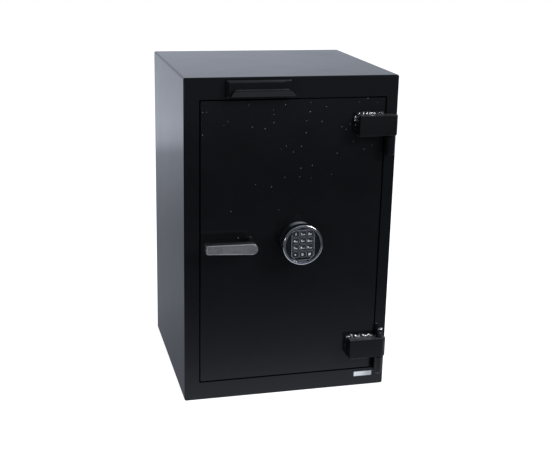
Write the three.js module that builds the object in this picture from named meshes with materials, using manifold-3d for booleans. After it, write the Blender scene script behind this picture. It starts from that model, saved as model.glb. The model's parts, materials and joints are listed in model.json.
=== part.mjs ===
// A floor-standing drop safe: a folded steel cabinet with a flush plate door, a pull-out deposit
// drawer above the door, a keypad lock and a lever that throws three round bolts.
// Millimetres. X runs to the right, Y to the back, Z up. The origin is the middle of the base.

import * as THREE from 'three';
import { mergeVertices } from 'three/addons/utils/BufferGeometryUtils.js';
import Module from 'manifold-3d';

// Gaps shared by all pieces
const SEAT = 0.3; // between two pieces that are welded or screwed together
const RUNNING = 0.1; // all round a shaft in its hole
const SLIDING = 0.5; // between two flat pieces that pass each other
const OVERRUN = 2; // how far a cutting shape runs past a face
const WELD = 0.0001; // corners closer than this are one corner

// Cabinet
const CABINET_WIDTH = 419;
const CABINET_DEPTH = 390;
const CABINET_HEIGHT = 648;
const WALL = 6;
const BEND_INSIDE = 1.5; // inside radius of the folded corners
const SOFT_EDGE = 0.8; // chamfer on cut plate edges
const BORDER_LEFT = 29.35; // frame to the left of the door opening
const BORDER_RIGHT = 22.95;
const BORDER_BOTTOM = 37.3;
const BORDER_TOP = 40.95;
const FRAME_PLATE = 6;
const ANCHOR_RADIUS = 6.5; // holes in the floor for anchor bolts
const ANCHOR_INSET_X = 80; // from the cabinet's sides
const ANCHOR_INSET_Y = 85; // from the cabinet's front and back

// Door
const DOOR_GAP = 2.5;
const DOOR_PLATE = 12.7;
const DOOR_CORNER = 2;

// Bars behind the frame that the closed door meets
const STOP_LAP = 13; // how far a stop reaches behind the door
const STOP_BAR = 6;
const STOP_SPREAD = 16; // height of the strip welded to the frame
const STOP_SIDE_MARGIN = 30;
const STOP_DOOR_GAP = 0.6;

// Hinges
const HINGE_INSET = 16.9; // from the cabinet's right side to the hinge axis
const BARREL_RADIUS = 12.5;
const BARREL_STANDOFF = 0.4; // clear of the front plane
const HINGE_PIN_RADIUS = 6.35;
const LEAF_REACH = 66.6; // from the axis to the left end of the leaf on the door
const LEAF_HEIGHT = 39.5;
const LEAF_EDGE = 1.2;
const UPPER_LEAF_INSET = 70.55; // from the door's top to the underside of the upper leaf
const LOWER_LEAF_INSET = 31.9; // from the door's bottom to the underside of the lower leaf
const THRUST_WASHER = 1.5;
const THRUST_WASHER_RADIUS = 9;
const KNUCKLE_RADIUS = 9.6;
const KNUCKLE_HEIGHT = 36.5;
const KNUCKLE_FOOT_MARGIN = 1; // from the door opening to the knuckle's foot
const BLIND_CAP = 6; // steel above the bore of the upper barrel
const LOWER_PIN_RISE = 20.8; // how far the lower pin stands above its barrel
const PIN_DOME = 3;
const PIN_SEAT_DEPTH = 3; // steel under the pins in the knuckles

// Dead bar that holds the hinge side of the closed door
const DEAD_BAR_LAP = 8.25; // behind the frame
const DEAD_BAR_WIDTH = 28;
const DEAD_BAR_THICKNESS = 12;
const DEAD_BAR_INSET = 99.65; // from the door's top and bottom to the bar's ends

// Lever handle
const HANDLE_INSET = 91.65; // from the door's left edge to the handle's axis
const HANDLE_RISE = 5.7; // handle's axis above the middle of the door
const LEVER_REACH = 89;
const LEVER_HUB_RADIUS = 10.8;
const LEVER_TIP_HEIGHT = 17.5;
const LEVER_TIP_RISE = 2.8; // middle of the tip above the handle's axis
const LEVER_TIP_CORNER = 3;
const LEVER_STANDOUT = 48;
const LEVER_THICKNESS = 16;
const LEVER_EDGE = 1.2;
const LEVER_TIP_BEND = 2.5; // how far the tip curves back to the door
const LEVER_TIP_BEND_LENGTH = 8;
const NECK_RADIUS = 10.2;
const NECK_FLARE = 3;
const COLLAR_RADIUS = 13;
const COLLAR_HEIGHT = 4;
const SPINDLE_RADIUS = 8;
const SPINDLE_SQUARE = 11;
const SPINDLE_GRIP = 30; // how far the spindle goes into the lever's neck
const BUSH_WALL = 2.7;
const BUSH_FLANGE = 3;
const BUSH_FLANGE_RADIUS = 14.5;

// Cam on the spindle, and the slot that it drives
const DRIVE_RADIUS = 20;
const HANDLE_SWEEP = Math.PI / 2;
const CAM_THICKNESS = 10;
const CAM_HUB_RADIUS = 14;
const CAM_TIP_RADIUS = 9;
const DRIVE_PIN_RADIUS = 5;
const DRIVE_PIN_END = 2.5; // how far the pin stands out behind the yoke
const SLOT_SIDE = 0.8; // clearance on each side of the pin
const SLOT_END = 1.5;
const YOKE_THICKNESS = 6;
const YOKE_MARGIN = 10; // steel round the slot
const YOKE_CORNER = 6;

// Boltwork
const BOLT_RADIUS = 12.5;
const BOLT_CHAMFER = 2;
const BOLT_SETBACK = 30; // bolt axis behind the back of the door plate
const BOLT_INSET = 77.15; // from the ends of the door to the outer bolts, on average
const BOLT_RETREAT = 9.15; // withdrawn bolt ends from the edge of the door opening
const BOLT_SHOW = 3; // how far a withdrawn bolt stands out of its guide
const ANGLE_THICKNESS = 6;
const ANGLE_FLANGE = 30;
const ANGLE_WEB = 54;
const ANGLE_MARGIN = 22; // from the door plate's top and bottom to the angle's ends
const CARRIER_MARGIN = 2.7; // between the thrown carrier and the angle
const CARRIER_THICKNESS = 8;
const CARRIER_WIDTH = 36;
const CARRIER_OVERHANG = 25; // beyond the outer bolts
const CARRIER_CORNER = 5;
const TAIL_RADIUS = 6;
const TAIL_END = 4;
const LUG_GAP = 23; // from the carrier to the tail guides
const LUG_THICKNESS = 6;
const LUG_BASE = 30;
const LUG_BASE_THICKNESS = 5;
const LUG_WIDTH = 32;
const LUG_TOP = 14; // beyond the bolt axis

// Lock
const LOCK_WIDTH = 61;
const LOCK_HEIGHT = 82;
const LOCK_DEPTH = 25;
const LOCK_EDGE = 1.5;
const LOCK_BOLT_WIDTH = 18;
const LOCK_BOLT_DEPTH = 10;
const LOCK_BOLT_SHOW = 2;
const LOCK_BOLT_SUNK = 22;
const LOCK_BOLT_TRAVEL = 10;
const LOCK_BOLT_FIT = 0.35;
const TAB_WIDTH = 6;
const TAB_GAP = 1; // between the tab and the withdrawn lock bolt
const ARM_GAP = 3; // between the yoke's arm and the thrown lock bolt
const ARM_HEIGHT = 14;
const HARD_PLATE = 3;
const HARD_PLATE_MARGIN = 6;

// Keypad
const KEYPAD_SHIFT = 13; // keypad's axis to the right of the middle of the door
const KEYPAD_RISE = 5.4; // and above it
const BEZEL_RADIUS = 39.5;
const BEZEL_WALL = 3;
const BEZEL_LIP_RADIUS = 34;
const BEZEL_FRONT = 38.5; // from the door to the front of the ring
const BEZEL_LIP = 2.2;
const BEZEL_ROUND = 1.6;
const HOUSING_DEPTH = 24;
const HOUSING_FOOT_RADIUS = 36.4;
const HOUSING_RIM_RADIUS = 38.4;
const HOUSING_WALL = 4;
const HOUSING_FLOOR = 3;
const FACE_THICKNESS = 5;
const BOARD_THICKNESS = 2;
const KEY_WIDTH = 12;
const KEY_HEIGHT = 10.8;
const KEY_CORNER = 2.2;
const KEY_PITCH_X = 14.2;
const KEY_PITCH_Z = 13.8;
const KEY_FIT = 0.3;
const KEY_FLANGE_LAP = 0.6;
const KEY_FLANGE = 2;
const KEY_RISE = 1.4; // above the raised key field
const KEY_CROWN_INSET = 0.8;
const KEY_TRAVEL = 1.2;
const KEY_PLUNGER_RADIUS = 2.5;
const KEY_GRID_RISE = 2; // middle of the keys above the middle of the ring
const KEY_COLUMNS = 3;
const KEY_ROWS = 4;
const KEY_FIELD_WIDTH = 46;
const KEY_FIELD_HEIGHT = 61;
const KEY_FIELD_CUT = 9;
const KEY_FIELD_RISE = 1.2;
const BATTERY_LENGTH = 48.5;
const BATTERY_HEIGHT = 26.5;
const BATTERY_DEPTH = 17.5;
const BATTERY_DROP = 6; // battery's middle below the middle of the ring
const BATTERY_EDGE = 2;
const CABLE_RADIUS = 2;
const CABLE_RISE = 20;
const CABLE_HOLE_RADIUS = 4;

// Deposit drawer
const DRAWER_INSET = 141.2; // from the cabinet's left side to the middle of the drawer
const DRAWER_WIDTH = 125.4;
const DRAWER_HEIGHT = 33;
const DRAWER_TOP_MARGIN = 5.2; // from the cabinet's top to the drawer front
const DRAWER_CORNER = 2.5;
const DRAWER_RIM = 6; // square edge in front of the frame
const DRAWER_STANDOUT = 12;
const DRAWER_BEVEL_LEFT = 5.3; // width of each bevel round the flat face
const DRAWER_BEVEL_RIGHT = 20.1;
const DRAWER_BEVEL_END = 3.5; // at the top and bottom
const APERTURE_LAP_SIDE = 6;
const APERTURE_LAP_END = 4;
const DRAWER_TRAVEL = 95;
const TRAY_SIDE_CLEARANCE = 1.5;
const TRAY_LIFT = 1.2; // tray above the bottom edge of its opening
const TRAY_SHEET = 2;
const TRAY_RAIL = 8; // width of the rails that run on behind the tray's floor
const TRAY_STOP = 6; // length of the lugs that meet the flap's rod when the drawer is out
const HOUSING_SHEET = 2;
const TUNNEL_CLEARANCE = 1.2; // on each side of the tray
const TUNNEL_LENGTH = 138.7;
const RUNNER_WIDTH = 8;
const FLAP_SETBACK = 13; // flap's rod behind the frame
const FLAP_ROD_RADIUS = 2;
const FLAP_KNUCKLE_RADIUS = 3.5;
const FLAP_ROOF_GAP = 0.4;
const FLAP_SHEET = 2;
const FLAP_SIDE_CLEARANCE = 2.5;
const FLAP_FLOOR_GAP = 1.3;
const FLAP_MARGIN = 3; // between the flap and the floor of the drawn tray
const COMB_SHEET = 2;
const COMB_DEPTH = 14;
const COMB_TOOTH = 7;
const COMB_TEETH = 12;
const COMB_INSET = 12; // in front of the tunnel's rear edge

// Pull on the drawer front
const PULL_LIP_WIDTH = 124;
const PULL_TOP_WIDTH = 108;
const PULL_TOP_CORNER = 9;
const PULL_HEIGHT = 12.2;
const PULL_SHIFT = 4.6; // pull's middle to the right of the drawer's
const PULL_REACH = 12; // in front of the drawer's flat face
const PULL_BROW = 2.6; // rounding where the top turns down
const PULL_LEAN = 1.6; // how far the lip stands out beyond the brow
const PULL_SHEET = 2.2;
const PULL_DROP = 16; // pull's top below the top of the drawer front

// How finely curves are cut into flats
const ROUND = 32;
const ROUND_FINE = 64;
const ROUND_SMALL = 20;
const CURVE = 5;

// Planes and places that several pieces share
const FRONT = -CABINET_DEPTH / 2;
const BACK = CABINET_DEPTH / 2;
const HALF_WIDTH = CABINET_WIDTH / 2;
const INNER_HALF = HALF_WIDTH - WALL;
const INNER_TOP = CABINET_HEIGHT - WALL;
const FRAME_BACK = FRONT + FRAME_PLATE;
const OPENING_LEFT = -HALF_WIDTH + BORDER_LEFT;
const OPENING_RIGHT = HALF_WIDTH - BORDER_RIGHT;
const OPENING_BOTTOM = BORDER_BOTTOM;
const OPENING_TOP = CABINET_HEIGHT - BORDER_TOP;
const DOOR_LEFT = OPENING_LEFT + DOOR_GAP;
const DOOR_RIGHT = OPENING_RIGHT - DOOR_GAP;
const DOOR_BOTTOM = OPENING_BOTTOM + DOOR_GAP;
const DOOR_TOP = OPENING_TOP - DOOR_GAP;
const DOOR_MIDDLE_X = (DOOR_LEFT + DOOR_RIGHT) / 2;
const DOOR_MIDDLE_Z = (DOOR_BOTTOM + DOOR_TOP) / 2;
const HINGE_X = HALF_WIDTH - HINGE_INSET;
const HINGE_OUT = BARREL_STANDOFF + BARREL_RADIUS; // hinge axis in front of the front plane
const HANDLE_X = DOOR_LEFT + HANDLE_INSET;
const HANDLE_Z = DOOR_MIDDLE_Z + HANDLE_RISE;
const KEYPAD_X = DOOR_MIDDLE_X + KEYPAD_SHIFT;
const KEYPAD_Z = DOOR_MIDDLE_Z + KEYPAD_RISE;
const DRAWER_X = -HALF_WIDTH + DRAWER_INSET;

// Layers behind the door's front face, one on the next
const LAYER_BUSH = DOOR_PLATE + SEAT;
const LAYER_CAM = LAYER_BUSH + BUSH_FLANGE + SLIDING;
const CAM_BACK = LAYER_CAM + CAM_THICKNESS;
const LAYER_YOKE = CAM_BACK + SLIDING;
const YOKE_BACK = LAYER_YOKE + YOKE_THICKNESS;
const YOKE_MIDDLE = (LAYER_YOKE + YOKE_BACK) / 2;
const BOLT_AXIS = DOOR_PLATE + BOLT_SETBACK;
const LAYER_LOCK = DOOR_PLATE + SEAT + HARD_PLATE + SEAT;

// Places along the boltwork, with the bolts withdrawn
const BOLT_THROW = 2 * DRIVE_RADIUS * Math.sin(HANDLE_SWEEP / 2);
const BOLT_TIP = OPENING_LEFT + BOLT_RETREAT;
const ANGLE_LEFT = BOLT_TIP + BOLT_SHOW;
const ANGLE_RIGHT = ANGLE_LEFT + ANGLE_THICKNESS;
const CARRIER_LEFT = ANGLE_RIGHT + BOLT_THROW + CARRIER_MARGIN;
const CARRIER_RIGHT = CARRIER_LEFT + CARRIER_THICKNESS;
const LUG_LEFT = CARRIER_RIGHT + LUG_GAP;
const LUG_RIGHT = LUG_LEFT + LUG_THICKNESS;
const TAIL_TIP = LUG_RIGHT + BOLT_THROW + TAIL_END;
const DRIVE_PIN_X = HANDLE_X + DRIVE_RADIUS * Math.sin(HANDLE_SWEEP / 2);
const DRIVE_PIN_RISE = DRIVE_RADIUS * Math.cos(HANDLE_SWEEP / 2);
const BOLT_SPACING = (DOOR_TOP - DOOR_BOTTOM) / 2 - BOLT_INSET;
const BOLT_LEVELS = { lower: -BOLT_SPACING, middle: 0, upper: BOLT_SPACING };

// Lock places
const LOCK_TOP = KEYPAD_Z + LOCK_HEIGHT / 2;
const LOCK_BOLT_TOP = LOCK_TOP + LOCK_BOLT_SHOW;
const TAB_BOTTOM = LOCK_BOLT_TOP + TAB_GAP;
const ARM_BOTTOM = LOCK_BOLT_TOP + LOCK_BOLT_TRAVEL + ARM_GAP;
const TAB_SIDE_GAP = (BOLT_THROW - LOCK_BOLT_WIDTH - TAB_WIDTH) / 2;
const TAB_LEFT = KEYPAD_X + LOCK_BOLT_WIDTH / 2 + TAB_SIDE_GAP;

// Keypad layers, measured out from the door
const RIM_OUT = SEAT + HOUSING_DEPTH;
const BOARD_OUT = RIM_OUT + SEAT;
const BOARD_FRONT = BOARD_OUT + BOARD_THICKNESS;
const BEZEL_BORE = BEZEL_RADIUS - BEZEL_WALL;
const FACE_FRONT = BEZEL_FRONT - BEZEL_LIP - SEAT;
const FACE_BACK = FACE_FRONT - FACE_THICKNESS;
const KEY_FLANGE_FRONT = FACE_BACK - SEAT;
const KEY_FLANGE_BACK = KEY_FLANGE_FRONT - KEY_FLANGE;
const KEY_BACK = BOARD_FRONT + KEY_TRAVEL + SEAT;
const KEY_FRONT = FACE_FRONT + KEY_FIELD_RISE + KEY_RISE;

// Drawer places
const DRAWER_TOP = CABINET_HEIGHT - DRAWER_TOP_MARGIN;
const DRAWER_BOTTOM = DRAWER_TOP - DRAWER_HEIGHT;
const APERTURE_HALF = DRAWER_WIDTH / 2 - APERTURE_LAP_SIDE;
const APERTURE_BOTTOM = DRAWER_BOTTOM + APERTURE_LAP_END;
const APERTURE_TOP = DRAWER_TOP - APERTURE_LAP_END;
const TRAY_HALF = APERTURE_HALF - TRAY_SIDE_CLEARANCE;
const TRAY_BOTTOM = APERTURE_BOTTOM + TRAY_LIFT;
const TRAY_FLOOR_TOP = TRAY_BOTTOM + TRAY_SHEET;
const TUNNEL_HALF = TRAY_HALF + TUNNEL_CLEARANCE;
const TUNNEL_OUTER = TUNNEL_HALF + HOUSING_SHEET;
const TUNNEL_FRONT = FRAME_BACK + SEAT;
const TUNNEL_BACK = TUNNEL_FRONT + TUNNEL_LENGTH;
const ROOF_TOP = INNER_TOP - SEAT;
const ROOF_BOTTOM = ROOF_TOP - HOUSING_SHEET;
const RUNNER_TOP = TRAY_BOTTOM - SEAT;
const RUNNER_BOTTOM = RUNNER_TOP - HOUSING_SHEET;
const FLAP_Y = FRAME_BACK + FLAP_SETBACK;
const FLAP_Z = ROOF_BOTTOM - FLAP_ROOF_GAP - FLAP_KNUCKLE_RADIUS;
const TRAY_SIDE_TOP = FLAP_Z - FLAP_ROD_RADIUS - SEAT;
const TRAY_FLOOR_BACK = FLAP_Y - FLAP_SHEET / 2 - FLAP_MARGIN + DRAWER_TRAVEL;
const TRAY_STOP_FRONT = FLAP_Y + FLAP_ROD_RADIUS + SEAT + DRAWER_TRAVEL;
const FLAP_HALF = TRAY_HALF - TRAY_SHEET - FLAP_SIDE_CLEARANCE;

// Materials
const paint = (name, color, roughness, metalness) =>
  new THREE.MeshStandardMaterial({ name, color, roughness, metalness });
const BLACK_PAINT = paint('black_paint', 0x101114, 0.3, 0);
const GREY_PAINT = paint('grey_paint', 0x2a2c2f, 0.5, 0);
const SATIN_STEEL = paint('satin_steel', 0xa9a9a8, 0.35, 1);
const ZINC_STEEL = paint('zinc_steel', 0x9c9fa3, 0.4, 1);
const CHROME = paint('chrome', 0xdcdddf, 0.08, 1);
const BRONZE = paint('bronze', 0xa8824a, 0.4, 1);
const CAST_ZINC = paint('cast_zinc', 0x8d8f92, 0.5, 1);
const BLACK_PLASTIC = paint('black_plastic', 0x17181a, 0.35, 0);
const KEY_RUBBER = paint('key_rubber', 0x3a3c40, 0.55, 0);
const CIRCUIT_BOARD = paint('circuit_board', 0x1d4a2c, 0.5, 0);
const BATTERY_CASE = paint('battery_case', 0x4a4d52, 0.4, 0.2);
const CABLE_SHEATH = paint('cable_sheath', 0x1c1c1d, 0.6, 0);

const wasm = await Module();
wasm.setup();

// A closed geometry as a solid that can be joined and cut. A profile may be listed either way
// round, so a solid that comes out with its faces pointing in is turned.
function solid(geometry) {
  const loose = geometry.index ? geometry.toNonIndexed() : geometry;
  const bare = new THREE.BufferGeometry();
  bare.setAttribute('position', loose.getAttribute('position'));
  const merged = mergeVertices(bare, WELD);
  const corners = [];
  for (let i = 0; i < merged.index.count; i += 3) {
    const [a, b, c] = [0, 1, 2].map((k) => merged.index.getX(i + k));
    if (a !== b && b !== c && c !== a) corners.push(a, b, c);
  }
  const vertProperties = merged.getAttribute('position').array;
  const build = (order) => new wasm.Manifold(
    new wasm.Mesh({ numProp: 3, vertProperties, triVerts: new Uint32Array(order) }));
  const made = build(corners);
  return made.volume() < 0 ? build(corners.toReversed()) : made;
}

const join = (...parts) => parts.reduce((whole, part) => whole.add(part));
const cut = (body, ...tools) => tools.reduce((rest, tool) => rest.subtract(tool), body);

// The named mesh of a finished solid.
function piece(name, body, material) {
  const { vertProperties, triVerts } = body.getMesh();
  const geometry = new THREE.BufferGeometry();
  geometry.setAttribute('position', new THREE.BufferAttribute(new Float32Array(vertProperties), 3));
  geometry.setIndex(new THREE.BufferAttribute(new Uint32Array(triVerts), 1));
  const flat = geometry.toNonIndexed();
  flat.computeVertexNormals();
  const mesh = new THREE.Mesh(flat, material);
  mesh.name = name;
  return mesh;
}

// A group at a place, holding the pieces given.
function assembly(x, y, z, ...children) {
  const group = new THREE.Group();
  group.position.set(x, y, z);
  group.add(...children);
  return group;
}

// An outline through corners [across, up, radius], each rounded by its radius.
function outline(corners) {
  const shape = new THREE.Shape();
  const points = corners.map(([across, up]) => new THREE.Vector2(across, up));
  corners.forEach(([, , radius = 0], i) => {
    const here = points[i];
    const towards = (other) => other.clone().sub(here).setLength(radius).add(here);
    const start = towards(points.at(i - 1));
    const end = towards(points[(i + 1) % points.length]);
    if (i === 0) shape.moveTo(start.x, start.y);
    else shape.lineTo(start.x, start.y);
    if (radius > 0) shape.quadraticCurveTo(here.x, here.y, end.x, end.y);
  });
  shape.closePath();
  return shape;
}

function rectangle(left, right, bottom, top, radius = 0) {
  return outline([[left, bottom, radius], [right, bottom, radius],
    [right, top, radius], [left, top, radius]]);
}

// Which way an outline lies for each direction that it is pushed along.
const ALONG = {
  x: new THREE.Matrix4().makeBasis(
    new THREE.Vector3(0, 1, 0), new THREE.Vector3(0, 0, 1), new THREE.Vector3(1, 0, 0)),
  y: new THREE.Matrix4().makeBasis(
    new THREE.Vector3(1, 0, 0), new THREE.Vector3(0, 0, 1), new THREE.Vector3(0, -1, 0)),
  z: new THREE.Matrix4(),
};

// An outline pushed along an axis from one place to another, with its end edges chamfered.
function extrude(shape, axis, from, to, chamfer = 0) {
  const bar = new THREE.ExtrudeGeometry(shape, {
    depth: to - from - 2 * chamfer,
    curveSegments: CURVE,
    bevelEnabled: chamfer > 0,
    bevelThickness: chamfer,
    bevelSize: chamfer,
    bevelOffset: -chamfer,
    bevelSegments: 1,
  });
  bar.translate(0, 0, chamfer);
  bar.applyMatrix4(ALONG[axis]);
  const shift = { x: [from, 0, 0], y: [0, to, 0], z: [0, 0, from] }[axis];
  return solid(bar.translate(...shift));
}

// A profile of [radius, along] points turned about an axis through a place.
function turn(profile, axis, x, y, z, sides = ROUND) {
  const points = profile.map(([radius, along]) => new THREE.Vector2(radius, along));
  const shape = new THREE.LatheGeometry(points, sides);
  if (axis === 'x') shape.rotateZ(-Math.PI / 2);
  if (axis === 'z') shape.rotateX(Math.PI / 2);
  return solid(shape.translate(x, y, z));
}

const bar = (radius, from, to) => [[0, from], [radius, from], [radius, to], [0, to]];
const tube = (inner, outer, from, to) =>
  [[inner, from], [outer, from], [outer, to], [inner, to], [inner, from]];

// A round bar with chamfered ends.
const chamferedBar = (radius, from, to, chamfer) => [[0, from], [radius - chamfer, from],
  [radius, from + chamfer], [radius, to - chamfer], [radius - chamfer, to], [0, to]];

function block(left, right, front, back, bottom, top) {
  const box = new THREE.BoxGeometry(right - left, back - front, top - bottom);
  return solid(box.translate((left + right) / 2, (front + back) / 2, (bottom + top) / 2));
}

// A solid through rings of points, the same number in each, closed by a flat face at each end.
function loft(rings) {
  const around = rings[0].length;
  const corner = (ring, i) => rings[ring][i % around];
  const middle = (ring) => ring.reduce((sum, p) => sum.clone().add(p)).divideScalar(around);
  const positions = [];
  const face = (...points) => points.forEach((p) => positions.push(p.x, p.y, p.z));
  const ends = [middle(rings[0]), middle(rings.at(-1))];
  for (let i = 0; i < around; i++) {
    for (let ring = 0; ring + 1 < rings.length; ring++) {
      face(corner(ring, i), corner(ring, i + 1), corner(ring + 1, i + 1));
      face(corner(ring, i), corner(ring + 1, i + 1), corner(ring + 1, i));
    }
    face(ends[0], corner(0, i + 1), corner(0, i));
    face(ends[1], corner(rings.length - 1, i), corner(rings.length - 1, i + 1));
  }
  const skin = new THREE.BufferGeometry();
  skin.setAttribute('position', new THREE.Float32BufferAttribute(positions, 3));
  return solid(skin);
}

// The ring of a loft: a rounded rectangle standing across Y at a depth.
function ringAt(depth, left, right, bottom, top, radius) {
  const flat = rectangle(left, right, bottom, top, radius).getPoints(CURVE);
  const open = flat.filter((p, i) => i === 0 || p.distanceTo(flat[i - 1]) > WELD);
  if (open[0].distanceTo(open.at(-1)) <= WELD) open.pop();
  return open.map((p) => new THREE.Vector3(p.x, depth, p.y));
}

// The four walls of the cabinet, folded from one plate, with anchor holes in the floor.
function bodyWrap() {
  const outer = rectangle(-HALF_WIDTH, HALF_WIDTH, 0, CABINET_HEIGHT, WALL + BEND_INSIDE);
  const inner = rectangle(-INNER_HALF, INNER_HALF, WALL, INNER_TOP, BEND_INSIDE);
  const holes = [];
  for (const side of [-1, 1]) {
    for (const end of [-1, 1]) {
      const x = side * (HALF_WIDTH - ANCHOR_INSET_X);
      const y = end * (BACK - ANCHOR_INSET_Y);
      const hole = bar(ANCHOR_RADIUS, -OVERRUN, WALL + OVERRUN);
      holes.push(turn(hole, 'z', x, y, 0, ROUND_SMALL));
    }
  }
  return cut(extrude(outer, 'y', FRONT, BACK, SOFT_EDGE),
    extrude(inner, 'y', FRONT - OVERRUN, BACK + OVERRUN), ...holes);
}

// The outline that fits inside the folded walls.
const insideWalls = () => rectangle(-INNER_HALF + SEAT, INNER_HALF - SEAT, WALL + SEAT,
  INNER_TOP - SEAT, BEND_INSIDE);

const backPanel = () => extrude(insideWalls(), 'y', BACK - WALL, BACK);

// The front plate, open for the door and for the drawer.
function frontFrame() {
  const through = [FRONT - OVERRUN, FRAME_BACK + OVERRUN];
  const door = rectangle(OPENING_LEFT, OPENING_RIGHT, OPENING_BOTTOM, OPENING_TOP, DOOR_CORNER);
  const drawer = rectangle(DRAWER_X - APERTURE_HALF, DRAWER_X + APERTURE_HALF, APERTURE_BOTTOM,
    APERTURE_TOP, DRAWER_CORNER);
  return cut(extrude(insideWalls(), 'y', FRONT, FRAME_BACK),
    extrude(door, 'y', ...through), extrude(drawer, 'y', ...through));
}

// A stepped bar behind one end of the frame: its foot is welded to the frame, and its lip stands
// behind the door. The sign says on which side of the opening's edge the foot lies.
function doorStop(edge, sign, left, right) {
  const lip = FRONT + DOOR_PLATE + STOP_DOOR_GAP;
  const foot = edge + sign * (SEAT + DOOR_GAP);
  const profile = outline([
    [FRAME_BACK + SEAT, foot],
    [FRAME_BACK + SEAT, foot + sign * STOP_SPREAD],
    [lip + STOP_BAR, foot + sign * STOP_SPREAD],
    [lip + STOP_BAR, edge - sign * STOP_LAP],
    [lip, edge - sign * STOP_LAP],
    [lip, foot],
  ]);
  return extrude(profile, 'x', left, right);
}

// The knuckle welded to the frame: a round barrel on a foot, bored from above for its pin.
function knuckle() {
  const height = KNUCKLE_HEIGHT;
  const footLeft = OPENING_RIGHT + KNUCKLE_FOOT_MARGIN - HINGE_X;
  const barrel = chamferedBar(KNUCKLE_RADIUS, -height, 0, LEAF_EDGE);
  const foot = block(footLeft, KNUCKLE_RADIUS, 0, HINGE_OUT - SEAT, -height + LEAF_EDGE,
    -LEAF_EDGE);
  const bore = bar(HINGE_PIN_RADIUS + RUNNING, -height + PIN_SEAT_DEPTH, OVERRUN);
  return cut(join(turn(barrel, 'z', 0, 0, 0), foot), turn(bore, 'z', 0, 0, 0));
}

// The leaf welded to the door: a thick strap that ends in a barrel round the pin.
function hingeLeaf(cap) {
  const strap = rectangle(-LEAF_REACH, 0, -BARREL_RADIUS, BARREL_RADIUS);
  const body = join(extrude(strap, 'z', 0, LEAF_HEIGHT, LEAF_EDGE),
    turn(chamferedBar(BARREL_RADIUS, 0, LEAF_HEIGHT, LEAF_EDGE), 'z', 0, 0, 0));
  const boreTop = cap ? LEAF_HEIGHT - BLIND_CAP : LEAF_HEIGHT + OVERRUN;
  return cut(body, turn(bar(HINGE_PIN_RADIUS + RUNNING, -OVERRUN, boreTop), 'z', 0, 0, 0));
}

// A hinge pin from the bottom of its knuckle to a domed end.
function hingePin(bottom, top) {
  const profile = [[0, bottom], [HINGE_PIN_RADIUS, bottom], [HINGE_PIN_RADIUS, top - PIN_DOME]];
  for (let step = 1; step <= CURVE; step++) {
    const angle = (step / CURVE) * Math.PI / 2;
    const rise = top - PIN_DOME + PIN_DOME * Math.sin(angle);
    profile.push([HINGE_PIN_RADIUS * Math.cos(angle), rise]);
  }
  profile.at(-1)[0] = 0;
  return turn(profile, 'z', 0, 0, 0);
}

const thrustWasher = () => turn(tube(HINGE_PIN_RADIUS + RUNNING, THRUST_WASHER_RADIUS, SEAT,
  SEAT + THRUST_WASHER), 'z', 0, 0, 0);

// One hinge about its axis, from the top of its knuckle up.
function hinge(name, leafBottom, cap) {
  const leafRise = SEAT + THRUST_WASHER + SEAT;
  const pinTop = leafRise + LEAF_HEIGHT + (cap ? -BLIND_CAP - OVERRUN : LOWER_PIN_RISE);
  const pinBottom = -KNUCKLE_HEIGHT + PIN_SEAT_DEPTH + SEAT;
  const leaf = piece(`${name}_hinge_leaf`, hingeLeaf(cap), BLACK_PAINT);
  leaf.position.z = leafRise;
  return assembly(HINGE_X, FRONT - HINGE_OUT, leafBottom - leafRise,
    piece(`${name}_hinge_knuckle`, knuckle(), BLACK_PAINT),
    piece(`${name}_hinge_pin`, hingePin(pinBottom, pinTop), BLACK_PAINT),
    piece(`${name}_thrust_washer`, thrustWasher(), BLACK_PAINT),
    leaf);
}

// The tunnel that the drawer runs in: a roof and two sides, with runners turned in below, open
// underneath so that a deposit drops into the safe.
function drawerTunnel() {
  const roof = block(-TUNNEL_OUTER, TUNNEL_OUTER, TUNNEL_FRONT, TUNNEL_BACK, ROOF_BOTTOM, ROOF_TOP);
  const walls = [-1, 1].flatMap((side) => {
    const [a, b] = [side * TUNNEL_OUTER, side * TUNNEL_HALF];
    const inner = side * (TUNNEL_HALF - RUNNER_WIDTH);
    return [
      block(Math.min(a, b), Math.max(a, b), TUNNEL_FRONT, TUNNEL_BACK, RUNNER_BOTTOM, ROOF_TOP),
      block(Math.min(a, inner), Math.max(a, inner), TUNNEL_FRONT, TUNNEL_BACK, RUNNER_BOTTOM,
        RUNNER_TOP),
    ];
  });
  const rod = bar(FLAP_ROD_RADIUS + RUNNING, -TUNNEL_OUTER - OVERRUN, TUNNEL_OUTER + OVERRUN);
  return cut(join(roof, ...walls), turn(rod, 'x', 0, FLAP_Y, FLAP_Z, ROUND_SMALL));
}

// A saw-toothed strip under the tunnel's roof that keeps a deposit from being fished out.
function antiFishComb() {
  const half = FLAP_HALF;
  const top = ROOF_BOTTOM - SEAT;
  const pitch = (2 * half) / COMB_TEETH;
  const corners = [[half, top], [-half, top]];
  for (let tooth = 0; tooth < COMB_TEETH; tooth++) {
    corners.push([-half + tooth * pitch, top - COMB_DEPTH + COMB_TOOTH]);
    corners.push([-half + (tooth + 1) * pitch, top - COMB_DEPTH]);
  }
  corners.push([half, top - COMB_DEPTH + COMB_TOOTH]);
  const y = TUNNEL_BACK - COMB_INSET;
  return extrude(outline(corners), 'y', y - COMB_SHEET, y);
}

const flapRod = () => turn(bar(FLAP_ROD_RADIUS, -TUNNEL_OUTER, TUNNEL_OUTER), 'x', 0, 0, 0,
  ROUND_SMALL);

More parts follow.
